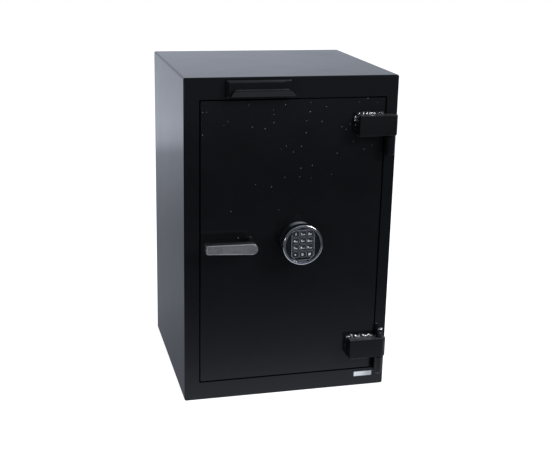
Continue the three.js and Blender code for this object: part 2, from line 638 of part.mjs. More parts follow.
// The one-way flap: a sheet hanging from a rolled knuckle on the rod.
function oneWayFlap() {
  const bottom = TRAY_FLOOR_TOP + FLAP_FLOOR_GAP - FLAP_Z;
  const sheet = block(-FLAP_HALF, FLAP_HALF, -FLAP_SHEET / 2, FLAP_SHEET / 2, bottom, 0);
  const knuckleBar = turn(bar(FLAP_KNUCKLE_RADIUS, -FLAP_HALF, FLAP_HALF), 'x', 0, 0, 0,
    ROUND_SMALL);
  const bore = bar(FLAP_ROD_RADIUS + RUNNING, -FLAP_HALF - OVERRUN, FLAP_HALF + OVERRUN);
  return cut(join(sheet, knuckleBar), turn(bore, 'x', 0, 0, 0, ROUND_SMALL));
}

// The block of the drawer front, grown by a clearance: a square edge that covers its opening,
// a bevel of its own width on each side, a flat face.
function drawerBlock(grow) {
  const half = DRAWER_WIDTH / 2 + grow;
  const ring = (out, share) => ringAt(-SEAT - out, -half + share * DRAWER_BEVEL_LEFT,
    half - share * DRAWER_BEVEL_RIGHT, DRAWER_BOTTOM - grow + share * DRAWER_BEVEL_END,
    DRAWER_TOP + grow - share * DRAWER_BEVEL_END, DRAWER_CORNER);
  return loft([ring(0, 0), ring(DRAWER_RIM + grow, 0), ring(DRAWER_STANDOUT + grow, 1)]);
}

const drawerFront = () => drawerBlock(0);

// The hood of the pull, drawn in by a wall's thickness: what lies under a profile with a
// rounded brow and inside a flared outline.
function pullHood(inset) {
  const top = DRAWER_TOP - PULL_DROP - inset;
  const bottom = DRAWER_TOP - PULL_DROP - PULL_HEIGHT - (inset > 0 ? OVERRUN : 0);
  const root = -SEAT - DRAWER_RIM - SEAT;
  const reach = DRAWER_STANDOUT - DRAWER_RIM + PULL_REACH - inset;
  const brow = -root + reach - PULL_LEAN;
  const profile = new THREE.Shape();
  profile.moveTo(root, bottom);
  profile.lineTo(root, top);
  profile.lineTo(-brow + PULL_BROW, top);
  profile.quadraticCurveTo(-brow, top, -brow, top - PULL_BROW);
  profile.lineTo(root - reach, bottom);
  profile.closePath();
  const lip = PULL_LIP_WIDTH / 2 - inset;
  const crest = PULL_TOP_WIDTH / 2 - inset;
  const face = outline([[PULL_SHIFT - lip, bottom], [PULL_SHIFT + lip, bottom],
    [PULL_SHIFT + crest, top, PULL_TOP_CORNER], [PULL_SHIFT - crest, top, PULL_TOP_CORNER]]);
  return extrude(profile, 'x', PULL_SHIFT - lip - OVERRUN, PULL_SHIFT + lip + OVERRUN)
    .intersect(extrude(face, 'y', root - reach - OVERRUN, root));
}

const drawerPull = () => cut(pullHood(0), pullHood(PULL_SHEET), drawerBlock(SEAT));

// The tray: a floor between two sides, which run on behind the floor as rails. A lug on each
// side stands up behind the flap's rod and stops the drawer when it is out.
function drawerTray() {
  const start = 0;
  const end = TUNNEL_BACK - FRONT;
  const floorEnd = TRAY_FLOOR_BACK - FRONT;
  const stop = TRAY_STOP_FRONT - FRONT;
  const walls = [-1, 1].flatMap((side) => {
    const [a, b] = [side * TRAY_HALF, side * (TRAY_HALF - TRAY_SHEET)];
    const [left, right] = [Math.min(a, b), Math.max(a, b)];
    return [
      block(left, right, start, end, TRAY_BOTTOM, TRAY_SIDE_TOP),
      block(left, right, stop, stop + TRAY_STOP, TRAY_BOTTOM, ROOF_BOTTOM - SLIDING),
    ];
  });
  const floor = block(-TRAY_HALF, TRAY_HALF, start, end, TRAY_BOTTOM, TRAY_FLOOR_TOP);
  const front = block(-TRAY_HALF, TRAY_HALF, start, start + TRAY_SHEET, TRAY_BOTTOM, TRAY_SIDE_TOP);
  const rail = TRAY_HALF - TRAY_RAIL;
  const gap = block(-rail, rail, floorEnd, end + OVERRUN, TRAY_BOTTOM - OVERRUN,
    TRAY_FLOOR_TOP + SLIDING);
  return cut(join(floor, front, ...walls), gap);
}

// The door plate, bored for the spindle's bush and for the keypad's cable.
function doorPlate() {
  const face = rectangle(DOOR_LEFT, DOOR_RIGHT, DOOR_BOTTOM, DOOR_TOP, DOOR_CORNER);
  const bush = bar(SPINDLE_RADIUS + RUNNING + BUSH_WALL + SEAT, -OVERRUN, DOOR_PLATE + OVERRUN);
  return cut(extrude(face, 'y', 0, DOOR_PLATE, SOFT_EDGE),
    turn(bush, 'y', HANDLE_X, 0, HANDLE_Z),
    cableHole(-OVERRUN, DOOR_PLATE + OVERRUN));
}

const cableHole = (from, to) => turn(bar(CABLE_HOLE_RADIUS, from, to), 'y', KEYPAD_X, 0,
  KEYPAD_Z + CABLE_RISE, ROUND_SMALL);

// A hardened plate between the lock and the door.
function hardPlate() {
  const half = LOCK_WIDTH / 2 + HARD_PLATE_MARGIN;
  const rise = LOCK_HEIGHT / 2 + HARD_PLATE_MARGIN;
  const front = DOOR_PLATE + SEAT;
  const plate = block(KEYPAD_X - half, KEYPAD_X + half, front, front + HARD_PLATE,
    KEYPAD_Z - rise, KEYPAD_Z + rise);
  return cut(plate, cableHole(front - OVERRUN, front + HARD_PLATE + OVERRUN));
}

// The lock's case, with the pocket that its bolt slides in.
function lockCase() {
  const half = LOCK_WIDTH / 2;
  const face = rectangle(KEYPAD_X - half, KEYPAD_X + half, KEYPAD_Z - LOCK_HEIGHT / 2, LOCK_TOP);
  const pocketHalf = LOCK_BOLT_WIDTH / 2 + LOCK_BOLT_FIT;
  const pocketDepth = LOCK_BOLT_DEPTH / 2 + LOCK_BOLT_FIT;
  const pocket = block(KEYPAD_X - pocketHalf, KEYPAD_X + pocketHalf, YOKE_MIDDLE - pocketDepth,
    YOKE_MIDDLE + pocketDepth, LOCK_TOP - LOCK_BOLT_SUNK - SEAT, LOCK_TOP + OVERRUN);
  return cut(extrude(face, 'y', LAYER_LOCK, LAYER_LOCK + LOCK_DEPTH, LOCK_EDGE), pocket);
}

const lockBolt = () => block(KEYPAD_X - LOCK_BOLT_WIDTH / 2, KEYPAD_X + LOCK_BOLT_WIDTH / 2,
  YOKE_MIDDLE - LOCK_BOLT_DEPTH / 2, YOKE_MIDDLE + LOCK_BOLT_DEPTH / 2,
  LOCK_TOP - LOCK_BOLT_SUNK, LOCK_BOLT_TOP);

// The angle on the door's free side that guides the three bolts through its web.
function boltAngle() {
  const front = DOOR_PLATE + SEAT;
  const section = outline([
    [ANGLE_LEFT, front],
    [ANGLE_LEFT + ANGLE_FLANGE, front],
    [ANGLE_LEFT + ANGLE_FLANGE, front + ANGLE_THICKNESS],
    [ANGLE_RIGHT, front + ANGLE_THICKNESS, BEND_INSIDE],
    [ANGLE_RIGHT, front + ANGLE_WEB],
    [ANGLE_LEFT, front + ANGLE_WEB],
  ]);
  const holes = Object.values(BOLT_LEVELS).map((level) => turn(
    bar(BOLT_RADIUS + RUNNING, ANGLE_LEFT - OVERRUN, ANGLE_RIGHT + OVERRUN), 'x', 0, BOLT_AXIS,
    HANDLE_Z + level));
  return cut(extrude(section, 'z', DOOR_BOTTOM + ANGLE_MARGIN, DOOR_TOP - ANGLE_MARGIN), ...holes);
}

// A foot on the door with an upright that guides the tail of an outer bolt.
function tailGuide(level) {
  const front = DOOR_PLATE + SEAT;
  const [bottom, top] = [HANDLE_Z + level - LUG_WIDTH / 2, HANDLE_Z + level + LUG_WIDTH / 2];
  const section = outline([
    [LUG_LEFT, front],
    [LUG_LEFT + LUG_BASE, front],
    [LUG_LEFT + LUG_BASE, front + LUG_BASE_THICKNESS],
    [LUG_RIGHT, front + LUG_BASE_THICKNESS, BEND_INSIDE],
    [LUG_RIGHT, BOLT_AXIS + LUG_TOP],
    [LUG_LEFT, BOLT_AXIS + LUG_TOP],
  ]);
  const hole = bar(TAIL_RADIUS + RUNNING, LUG_LEFT - OVERRUN, LUG_RIGHT + OVERRUN);
  return cut(extrude(section, 'z', bottom, top),
    turn(hole, 'x', 0, BOLT_AXIS, HANDLE_Z + level, ROUND_SMALL));
}

function deadBar() {
  const right = OPENING_RIGHT + DEAD_BAR_LAP;
  const front = DOOR_PLATE + SEAT;
  const section = rectangle(right - DEAD_BAR_WIDTH, right, front, front + DEAD_BAR_THICKNESS,
    BEND_INSIDE);
  return extrude(section, 'z', DOOR_BOTTOM + DEAD_BAR_INSET, DOOR_TOP - DEAD_BAR_INSET);
}

// The bar that carries the three bolts.
function carrierBar() {
  const half = CARRIER_WIDTH / 2;
  const section = rectangle(BOLT_AXIS - half, BOLT_AXIS + half,
    HANDLE_Z - BOLT_SPACING - CARRIER_OVERHANG, HANDLE_Z + BOLT_SPACING + CARRIER_OVERHANG,
    CARRIER_CORNER);
  const holes = Object.values(BOLT_LEVELS).map((level) => turn(
    bar(TAIL_RADIUS + RUNNING, CARRIER_LEFT - OVERRUN, CARRIER_RIGHT + OVERRUN), 'x', 0, BOLT_AXIS,
    HANDLE_Z + level, ROUND_SMALL));
  return cut(extrude(section, 'x', CARRIER_LEFT, CARRIER_RIGHT, SOFT_EDGE), ...holes);
}

// A round bolt with a chamfered nose and a thinner tail that passes through the carrier.
function roundBolt(level, tail) {
  const shoulder = CARRIER_LEFT - SEAT;
  const profile = [[0, BOLT_TIP], [BOLT_RADIUS - BOLT_CHAMFER, BOLT_TIP],
    [BOLT_RADIUS, BOLT_TIP + BOLT_CHAMFER], [BOLT_RADIUS, shoulder], [TAIL_RADIUS, shoulder],
    [TAIL_RADIUS, tail], [0, tail]];
  return turn(profile, 'x', 0, BOLT_AXIS, HANDLE_Z + level);
}

// The plate on the carrier: a slot for the cam's pin, and an arm over the lock whose tab the
// lock bolt blocks.
function yokePlate() {
  const left = CARRIER_RIGHT + SEAT;
  const slotHalf = DRIVE_PIN_RADIUS + SLOT_SIDE;
  const slotBottom = HANDLE_Z + DRIVE_PIN_RISE - DRIVE_PIN_RADIUS - SLOT_END;
  const slotTop = HANDLE_Z + DRIVE_RADIUS + DRIVE_PIN_RADIUS + SLOT_END;
  const right = DRIVE_PIN_X + slotHalf + YOKE_MARGIN;
  const plate = outline([
    [left, slotBottom - YOKE_MARGIN],
    [right, slotBottom - YOKE_MARGIN, YOKE_CORNER],
    [right, ARM_BOTTOM, YOKE_CORNER],
    [TAB_LEFT, ARM_BOTTOM],
    [TAB_LEFT, TAB_BOTTOM],
    [TAB_LEFT + TAB_WIDTH, TAB_BOTTOM],
    [TAB_LEFT + TAB_WIDTH, ARM_BOTTOM + ARM_HEIGHT, TAB_WIDTH / 2],
    [left, ARM_BOTTOM + ARM_HEIGHT],
  ]);
  const slot = rectangle(DRIVE_PIN_X - slotHalf, DRIVE_PIN_X + slotHalf, slotBottom, slotTop,
    SLOT_END);
  return cut(extrude(plate, 'y', LAYER_YOKE, YOKE_BACK),
    extrude(slot, 'y', LAYER_YOKE - OVERRUN, YOKE_BACK + OVERRUN));
}

// The lever: a tapered blade that curves back at its tip, on a round neck bored for the spindle.
function lever() {
  const tipTop = LEVER_TIP_RISE + LEVER_TIP_HEIGHT / 2;
  const tipBottom = LEVER_TIP_RISE - LEVER_TIP_HEIGHT / 2;
  const face = new THREE.Shape();
  face.moveTo(-LEVER_REACH + LEVER_TIP_CORNER, tipBottom);
  face.lineTo(0, -LEVER_HUB_RADIUS);
  face.absarc(0, 0, LEVER_HUB_RADIUS, -Math.PI / 2, Math.PI / 2, false);
  face.lineTo(-LEVER_REACH + LEVER_TIP_CORNER, tipTop);
  face.quadraticCurveTo(-LEVER_REACH, tipTop, -LEVER_REACH, tipTop - LEVER_TIP_CORNER);
  face.lineTo(-LEVER_REACH, tipBottom + LEVER_TIP_CORNER);
  face.quadraticCurveTo(-LEVER_REACH, tipBottom, -LEVER_REACH + LEVER_TIP_CORNER, tipBottom);
  const bend = -LEVER_REACH + LEVER_TIP_BEND_LENGTH;
  const back = -LEVER_STANDOUT + LEVER_THICKNESS;
  const span = LEVER_TIP_RISE + LEVER_HUB_RADIUS + OVERRUN;
  const plan = new THREE.Shape();
  plan.moveTo(LEVER_HUB_RADIUS + OVERRUN, back);
  plan.lineTo(LEVER_HUB_RADIUS + OVERRUN, -LEVER_STANDOUT);
  plan.lineTo(bend, -LEVER_STANDOUT);
  plan.quadraticCurveTo(-LEVER_REACH, -LEVER_STANDOUT, -LEVER_REACH - OVERRUN,
    -LEVER_STANDOUT + LEVER_TIP_BEND + OVERRUN);
  plan.lineTo(-LEVER_REACH - OVERRUN, back + LEVER_TIP_BEND);
  plan.quadraticCurveTo(-LEVER_REACH, back + OVERRUN, bend, back);
  const blade = extrude(face, 'y', -LEVER_STANDOUT, back + LEVER_TIP_BEND, LEVER_EDGE)
    .intersect(extrude(plan, 'z', -span, span));
  const neckEnd = -SEAT - COLLAR_HEIGHT - SLIDING;
  const neck = [[0, back - LEVER_EDGE], [LEVER_HUB_RADIUS - LEVER_EDGE, back - LEVER_EDGE],
    [NECK_RADIUS, back + NECK_FLARE], [NECK_RADIUS, neckEnd], [0, neckEnd]];
  const bore = bar(SPINDLE_RADIUS + RUNNING, neckEnd - SPINDLE_GRIP, neckEnd + OVERRUN);
  return cut(join(blade, turn(neck, 'y', 0, 0, 0)), turn(bore, 'y', 0, 0, 0));
}

// The spindle: round through the door, square through the cam.
function spindle() {
  const neckEnd = -SEAT - COLLAR_HEIGHT - SLIDING;
  const round = bar(SPINDLE_RADIUS, neckEnd - SPINDLE_GRIP + SEAT, LAYER_CAM);
  const half = SPINDLE_SQUARE / 2;
  return join(turn(round, 'y', 0, 0, 0),
    block(-half, half, LAYER_CAM - OVERRUN, CAM_BACK, -half, half));
}

// The cam on the spindle's square, and the place of its pin.
function cam() {
  const angle = Math.PI / 2 - HANDLE_SWEEP / 2;
  const tip = new THREE.Vector2(DRIVE_RADIUS, 0).rotateAround(new THREE.Vector2(), angle);
  const side = new THREE.Vector2(0, CAM_TIP_RADIUS).rotateAround(new THREE.Vector2(), angle);
  const arm = outline([[-side.x, -side.y], [tip.x - side.x, tip.y - side.y],
    [tip.x + side.x, tip.y + side.y], [side.x, side.y]]);
  const half = SPINDLE_SQUARE / 2 + SEAT;
  const body = join(turn(bar(CAM_HUB_RADIUS, LAYER_CAM, CAM_BACK), 'y', 0, 0, 0),
    extrude(arm, 'y', LAYER_CAM, CAM_BACK),
    turn(bar(CAM_TIP_RADIUS, LAYER_CAM, CAM_BACK), 'y', tip.x, 0, tip.y));
  return cut(body,
    block(-half, half, LAYER_CAM - OVERRUN, CAM_BACK + OVERRUN, -half, half),
    turn(bar(DRIVE_PIN_RADIUS + RUNNING, LAYER_CAM + OVERRUN, CAM_BACK + OVERRUN), 'y', tip.x, 0,
      tip.y, ROUND_SMALL));
}

const drivePin = () => turn(bar(DRIVE_PIN_RADIUS, LAYER_CAM + OVERRUN + SEAT,
  YOKE_BACK + DRIVE_PIN_END), 'y', 0, 0, 0, ROUND_SMALL);

const handleCollar = () => turn([
  [SPINDLE_RADIUS + SEAT, -SEAT],
  [COLLAR_RADIUS, -SEAT],
  [COLLAR_RADIUS, -SEAT - COLLAR_HEIGHT + SOFT_EDGE],
  [COLLAR_RADIUS - SOFT_EDGE, -SEAT - COLLAR_HEIGHT],
  [SPINDLE_RADIUS + SEAT, -SEAT - COLLAR_HEIGHT],
  [SPINDLE_RADIUS + SEAT, -SEAT],
], 'y', 0, 0, 0);

const spindleBush = () => turn([
  [SPINDLE_RADIUS + RUNNING, 0],
  [SPINDLE_RADIUS + RUNNING + BUSH_WALL, 0],
  [SPINDLE_RADIUS + RUNNING + BUSH_WALL, LAYER_BUSH],
  [BUSH_FLANGE_RADIUS, LAYER_BUSH],
  [BUSH_FLANGE_RADIUS, LAYER_BUSH + BUSH_FLANGE],
  [SPINDLE_RADIUS + RUNNING, LAYER_BUSH + BUSH_FLANGE],
  [SPINDLE_RADIUS + RUNNING, 0],
], 'y', 0, 0, 0);

// The keypad's cup, flared towards its rim.
function keypadHousing() {
  const cup = [[0, -SEAT], [HOUSING_FOOT_RADIUS, -SEAT], [HOUSING_RIM_RADIUS, -RIM_OUT],
    [HOUSING_RIM_RADIUS - HOUSING_WALL, -RIM_OUT],
    [HOUSING_RIM_RADIUS - HOUSING_WALL, -SEAT - HOUSING_FLOOR], [0, -SEAT - HOUSING_FLOOR]];
  const hole = bar(CABLE_HOLE_RADIUS, -SEAT - HOUSING_FLOOR - OVERRUN, OVERRUN);
  return cut(turn(cup, 'y', 0, 0, 0, ROUND_FINE), turn(hole, 'y', 0, 0, CABLE_RISE, ROUND_SMALL));
}

// The bright ring, rounded in front, with a lip that holds the face.
const keypadBezel = () => turn([
  [BEZEL_BORE, -BOARD_OUT],
  [BEZEL_RADIUS - BEZEL_ROUND, -BOARD_OUT],
  [BEZEL_RADIUS, -BOARD_OUT - BEZEL_ROUND],
  [BEZEL_RADIUS, -BEZEL_FRONT + BEZEL_ROUND],
  [BEZEL_RADIUS - BEZEL_ROUND, -BEZEL_FRONT],
  [BEZEL_LIP_RADIUS + BEZEL_ROUND, -BEZEL_FRONT],
  [BEZEL_LIP_RADIUS, -BEZEL_FRONT + BEZEL_LIP],
  [BEZEL_BORE, -BEZEL_FRONT + BEZEL_LIP],
  [BEZEL_BORE, -BOARD_OUT],
], 'y', 0, 0, 0, ROUND_FINE);

const keypadBoard = () => turn(bar(BEZEL_BORE - SEAT, -BOARD_FRONT, -BOARD_OUT), 'y', 0, 0, 0);

// Where each key stands about the middle of the ring, row by row from the top left.
function keyPlaces() {
  const places = [];
  for (let row = 0; row < KEY_ROWS; row++) {
    for (let column = 0; column < KEY_COLUMNS; column++) {
      places.push({
        x: (column - (KEY_COLUMNS - 1) / 2) * KEY_PITCH_X,
        z: KEY_GRID_RISE + ((KEY_ROWS - 1) / 2 - row) * KEY_PITCH_Z,
      });
    }
  }
  return places;
}

// The keypad's face, with a raised field cut at its corners and a hole for each key.
function keypadFace() {
  const half = KEY_FIELD_WIDTH / 2;
  const rise = KEY_FIELD_HEIGHT / 2;
  const field = outline([
    [-half + KEY_FIELD_CUT, -rise], [half - KEY_FIELD_CUT, -rise],
    [half, -rise + KEY_FIELD_CUT], [half, rise - KEY_FIELD_CUT],
    [half - KEY_FIELD_CUT, rise], [-half + KEY_FIELD_CUT, rise],
    [-half, rise - KEY_FIELD_CUT], [-half, -rise + KEY_FIELD_CUT],
  ]);
  const disc = turn(bar(BEZEL_BORE - SEAT, -FACE_FRONT, -FACE_BACK), 'y', 0, 0, 0, ROUND_FINE);
  const [w, h] = [KEY_WIDTH / 2 + KEY_FIT, KEY_HEIGHT / 2 + KEY_FIT];
  const holes = keyPlaces().map(({ x, z }) => extrude(
    rectangle(x - w, x + w, z - h, z + h, KEY_CORNER), 'y', -FACE_FRONT - KEY_FIELD_RISE - OVERRUN,
    -FACE_BACK + OVERRUN));
  return cut(join(disc, extrude(field, 'y', -FACE_FRONT - KEY_FIELD_RISE, -FACE_FRONT + OVERRUN)),
    ...holes);
}

// One key: a crowned cap, a flange behind the face that keeps it in, and a plunger.
function key() {
  const [w, h] = [KEY_WIDTH / 2, KEY_HEIGHT / 2];
  const ring = (out, inset) => ringAt(-out, -w + inset, w - inset, -h + inset, h - inset,
    KEY_CORNER);
  const cap = loft([ring(KEY_FLANGE_FRONT - KEY_FLANGE / 2, 0), ring(KEY_FRONT - KEY_CROWN_INSET, 0),
    ring(KEY_FRONT, KEY_CROWN_INSET)]);
  const [fw, fh] = [w + KEY_FLANGE_LAP, h + KEY_FLANGE_LAP + KEY_FIT];
  const flange = block(-fw, fw, -KEY_FLANGE_FRONT, -KEY_FLANGE_BACK, -fh, fh);
  const plunger = turn(bar(KEY_PLUNGER_RADIUS, -KEY_FLANGE_FRONT + KEY_FLANGE / 2, -KEY_BACK), 'y',
    0, 0, 0, ROUND_SMALL);
  return join(cap, flange, plunger);
}

function battery() {
  const half = BATTERY_LENGTH / 2;
  const face = rectangle(-half, half, -BATTERY_DROP - BATTERY_HEIGHT / 2,
    -BATTERY_DROP + BATTERY_HEIGHT / 2, BATTERY_EDGE);
  const back = -SEAT - HOUSING_FLOOR - SEAT;
  return extrude(face, 'y', back - BATTERY_DEPTH, back);
}

// The cable from the keypad's board through the door to the lock.
const keypadCable = () => turn(bar(CABLE_RADIUS, -BOARD_OUT + SEAT, LAYER_LOCK - SEAT), 'y', 0, 0,
  CABLE_RISE, ROUND_SMALL);

const KEY_NAMES = ['1', '2', '3', '4', '5', '6', '7', '8', '9', 'star', '0', 'hash'];

function keypad() {
  const cap = key();
  const keys = keyPlaces().map(({ x, z }, i) => {
    const mesh = piece(`key_${KEY_NAMES[i]}`, cap, KEY_RUBBER);
    mesh.position.set(x, 0, z);
    return mesh;
  });
  return assembly(KEYPAD_X, 0, KEYPAD_Z,
    piece('keypad_housing', keypadHousing(), BLACK_PLASTIC),
    piece('keypad_bezel', keypadBezel(), CHROME),
    piece('keypad_face', keypadFace(), BLACK_PLASTIC),
    piece('keypad_board', keypadBoard(), CIRCUIT_BOARD),
    piece('keypad_battery', battery(), BATTERY_CASE),
    piece('keypad_cable', keypadCable(), CABLE_SHEATH),
    ...keys);
}

function handle() {
  const pin = piece('drive_pin', drivePin(), ZINC_STEEL);
  pin.position.set(DRIVE_PIN_X - HANDLE_X, 0, DRIVE_PIN_RISE);
  return assembly(HANDLE_X, 0, HANDLE_Z,
    piece('handle_lever', lever(), SATIN_STEEL),
    piece('handle_spindle', spindle(), ZINC_STEEL),
    piece('handle_cam', cam(), ZINC_STEEL),
    pin,
    piece('handle_collar', handleCollar(), BLACK_PAINT),
    piece('spindle_bush', spindleBush(), BRONZE));
}

function boltwork() {
  const stubTail = CARRIER_RIGHT;
  const tails = { lower: TAIL_TIP, middle: stubTail, upper: TAIL_TIP };
  const bolts = Object.entries(BOLT_LEVELS).map(([name, level]) =>
    piece(`${name}_bolt`, roundBolt(level, tails[name]), ZINC_STEEL));
  return assembly(0, 0, 0,
    ...bolts,
    piece('bolt_carrier', carrierBar(), ZINC_STEEL),
    piece('yoke_plate', yokePlate(), ZINC_STEEL),
    piece('bolt_angle', boltAngle(), GREY_PAINT),
    piece('upper_tail_guide', tailGuide(BOLT_LEVELS.upper), GREY_PAINT),
    piece('lower_tail_guide', tailGuide(BOLT_LEVELS.lower), GREY_PAINT));
}

const door = () => assembly(0, FRONT, 0,
  piece('door_plate', doorPlate(), BLACK_PAINT),
  piece('dead_bar', deadBar(), GREY_PAINT),
  piece('hard_plate', hardPlate(), ZINC_STEEL),
  piece('lock_case', lockCase(), CAST_ZINC),
  piece('lock_bolt', lockBolt(), BRONZE),
  boltwork(), handle(), keypad());

function drawerStopped() {
  const flap = piece('one_way_flap', oneWayFlap(), ZINC_STEEL);
  const rod = piece('flap_rod', flapRod(), ZINC_STEEL);
  flap.position.set(0, FLAP_Y, FLAP_Z);
  rod.position.set(0, FLAP_Y, FLAP_Z);
  return assembly(DRAWER_X, 0, 0,
    piece('drawer_tunnel', drawerTunnel(), GREY_PAINT),
    piece('anti_fish_comb', antiFishComb(), ZINC_STEEL),
    rod, flap);
}

const drawer = () => assembly(DRAWER_X, FRONT, 0,
  piece('drawer_front', drawerFront(), BLACK_PAINT),
  piece('drawer_pull', drawerPull(), BLACK_PAINT),
  piece('drawer_tray', drawerTray(), GREY_PAINT));

function cabinet() {
  const stopLeft = DRAWER_X + TUNNEL_OUTER + STOP_SIDE_MARGIN;
  const stopRight = OPENING_RIGHT - STOP_SIDE_MARGIN;
  return assembly(0, 0, 0,
    piece('body_wrap', bodyWrap(), BLACK_PAINT),
    piece('back_panel', backPanel(), BLACK_PAINT),
    piece('front_frame', frontFrame(), BLACK_PAINT),
    piece('upper_door_stop', doorStop(OPENING_TOP, 1, stopLeft, stopRight), GREY_PAINT),
    piece('lower_door_stop', doorStop(OPENING_BOTTOM, -1, OPENING_LEFT + STOP_SIDE_MARGIN,
      stopRight), GREY_PAINT),
    drawerStopped(),
    hinge('upper', DOOR_TOP - UPPER_LEAF_INSET, true),
    hinge('lower', DOOR_BOTTOM + LOWER_LEAF_INSET, false));
}

const safe = new THREE.Group();
safe.name = 'drop_safe';
safe.add(cabinet(), door(), drawer());

export default safe;
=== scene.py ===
"""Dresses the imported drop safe: smooth skins over its plates, paint and metal finishes, welds,
screws, keypad legends, a pale studio and the photograph's camera."""

import sys

import json
import logging
import math
from dataclasses import dataclass, field, replace
from enum import Enum
from typing import Callable, Iterable, Sequence

import bmesh
import bpy
from mathutils import Matrix, Vector

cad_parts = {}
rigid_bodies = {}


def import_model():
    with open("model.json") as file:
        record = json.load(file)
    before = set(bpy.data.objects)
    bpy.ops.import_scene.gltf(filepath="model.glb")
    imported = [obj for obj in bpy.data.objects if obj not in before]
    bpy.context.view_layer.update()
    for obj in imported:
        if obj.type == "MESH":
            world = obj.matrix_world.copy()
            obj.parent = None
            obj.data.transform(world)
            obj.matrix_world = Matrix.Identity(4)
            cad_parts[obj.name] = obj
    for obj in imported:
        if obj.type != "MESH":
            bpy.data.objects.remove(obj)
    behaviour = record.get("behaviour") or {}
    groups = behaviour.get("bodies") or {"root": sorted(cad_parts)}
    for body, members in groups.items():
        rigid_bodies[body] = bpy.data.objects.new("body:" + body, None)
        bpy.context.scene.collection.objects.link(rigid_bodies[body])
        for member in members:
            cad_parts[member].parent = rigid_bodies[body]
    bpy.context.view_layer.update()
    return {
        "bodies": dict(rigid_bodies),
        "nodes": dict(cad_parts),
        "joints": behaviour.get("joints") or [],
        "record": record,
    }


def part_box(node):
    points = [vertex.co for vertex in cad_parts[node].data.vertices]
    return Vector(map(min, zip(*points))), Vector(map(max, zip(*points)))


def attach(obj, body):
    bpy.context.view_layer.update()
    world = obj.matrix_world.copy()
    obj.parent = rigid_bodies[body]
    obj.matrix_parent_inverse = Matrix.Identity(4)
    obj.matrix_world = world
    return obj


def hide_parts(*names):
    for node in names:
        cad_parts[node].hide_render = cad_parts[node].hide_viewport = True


LOG = logging.getLogger("drop_safe")

Point = tuple[float, float, float]
Colour = tuple[float, float, float]
Rgba = tuple[float, float, float, float]
Pair = tuple[float, float]
Profile = Sequence[Pair]
Levels = tuple[Pair, ...]


class Along(Enum):
    """The axis that brushed lines follow."""

    X = 0
    Y = 1
    Z = 2


class Shade(Enum):
    """How a mesh is shaded: flat faces, or smooth across edges blunter than its angle."""

    FLAT = 0.0
    SMOOTH = 35.0


# Node trees


class Tree:
    """A thin layer over a node tree that makes and links nodes in one call each."""

    def __init__(self, tree: bpy.types.NodeTree) -> None:
        """Wraps a tree.

        Args:
            tree: the shader or geometry tree to add nodes to.
        """
        self.tree = tree

    def node(self, kind: str, **values: object) -> bpy.types.Node:
        """Adds a node.

        Args:
            kind: the node's type name.
            values: properties by name, set before anything is linked.

        Returns:
            The new node.
        """
        made = self.tree.nodes.new(kind)
        for key, value in values.items():
            setattr(made, key, value)
        return made

    def link(self, source: bpy.types.NodeSocket, target: bpy.types.NodeSocket) -> None:
        """Links an output socket to an input socket."""
        self.tree.links.new(source, target)

    def feed(self, target: bpy.types.NodeSocket, value: object) -> None:
        """Links a socket, or sets a plain value.

        Args:
            target: the input socket.
            value: an output socket or a value.
        """
        if isinstance(value, bpy.types.NodeSocket):
            self.link(value, target)
        else:
            target.default_value = value

    def math(self, operation: str, first: object, second: object = 0.0) -> bpy.types.NodeSocket:
        """Adds a math node.

        Args:
            operation: the node's operation.
            first: a socket or number.
            second: a socket or number.

        Returns:
            The result's socket.
        """
        made = self.node("ShaderNodeMath", operation=operation)
        self.feed(made.inputs[0], first)
        self.feed(made.inputs[1], second)
        return made.outputs[0]

    def mix(self, factor: object, first: object, second: object) -> bpy.types.NodeSocket:
        """Mixes two colours.

        Args:
            factor: how much of the second colour.
            first: a socket or an RGBA colour.
            second: a socket or an RGBA colour.

        Returns:
            The mixed colour's socket.
        """
        made = self.node("ShaderNodeMix", data_type="RGBA")
        self.feed(made.inputs["Factor"], factor)
        self.feed(made.inputs[6], first)
        self.feed(made.inputs[7], second)
        return made.outputs[2]

    def ranged(self, value: object, low: float, high: float, to_low: float,
               to_high: float) -> bpy.types.NodeSocket:
        """Maps a value from one range to another, clamped.

        Args:
            value: the socket to map.
            low: where the range starts.
            high: where the range ends.
            to_low: what the start becomes.
            to_high: what the end becomes.

        Returns:
            The mapped value's socket.
        """
        made = self.node("ShaderNodeMapRange")
        for socket, number in zip(made.inputs, (value, low, high, to_low, to_high)):
            self.feed(socket, number)
        return made.outputs[0]

    def levels(self, value: bpy.types.NodeSocket, stops: Levels) -> bpy.types.NodeSocket:
        """Follows a value through straight runs between given levels.

        Args:
            value: the socket that is followed.
            stops: value and level pairs, in rising order.

        Returns:
            The level's socket.
        """
        total: object = stops[0][1]
        for (low, level), (high, there) in zip(stops, stops[1:]):
            total = self.math("ADD", total, self.ranged(value, low, high, 0.0, there - level))
        return total

    def band(self, value: bpy.types.NodeSocket, rise: Pair, fall: Pair) -> bpy.types.NodeSocket:
        """Gives 1 between two soft edges and 0 outside them.

        Args:
            value: the socket that is followed.
            rise: where the lower edge starts and ends.
            fall: where the upper edge starts and ends.

        Returns:
            The band's socket.
        """
        return self.math("MULTIPLY", self.ranged(value, *rise, 0.0, 1.0),
                         self.ranged(value, *fall, 1.0, 0.0))


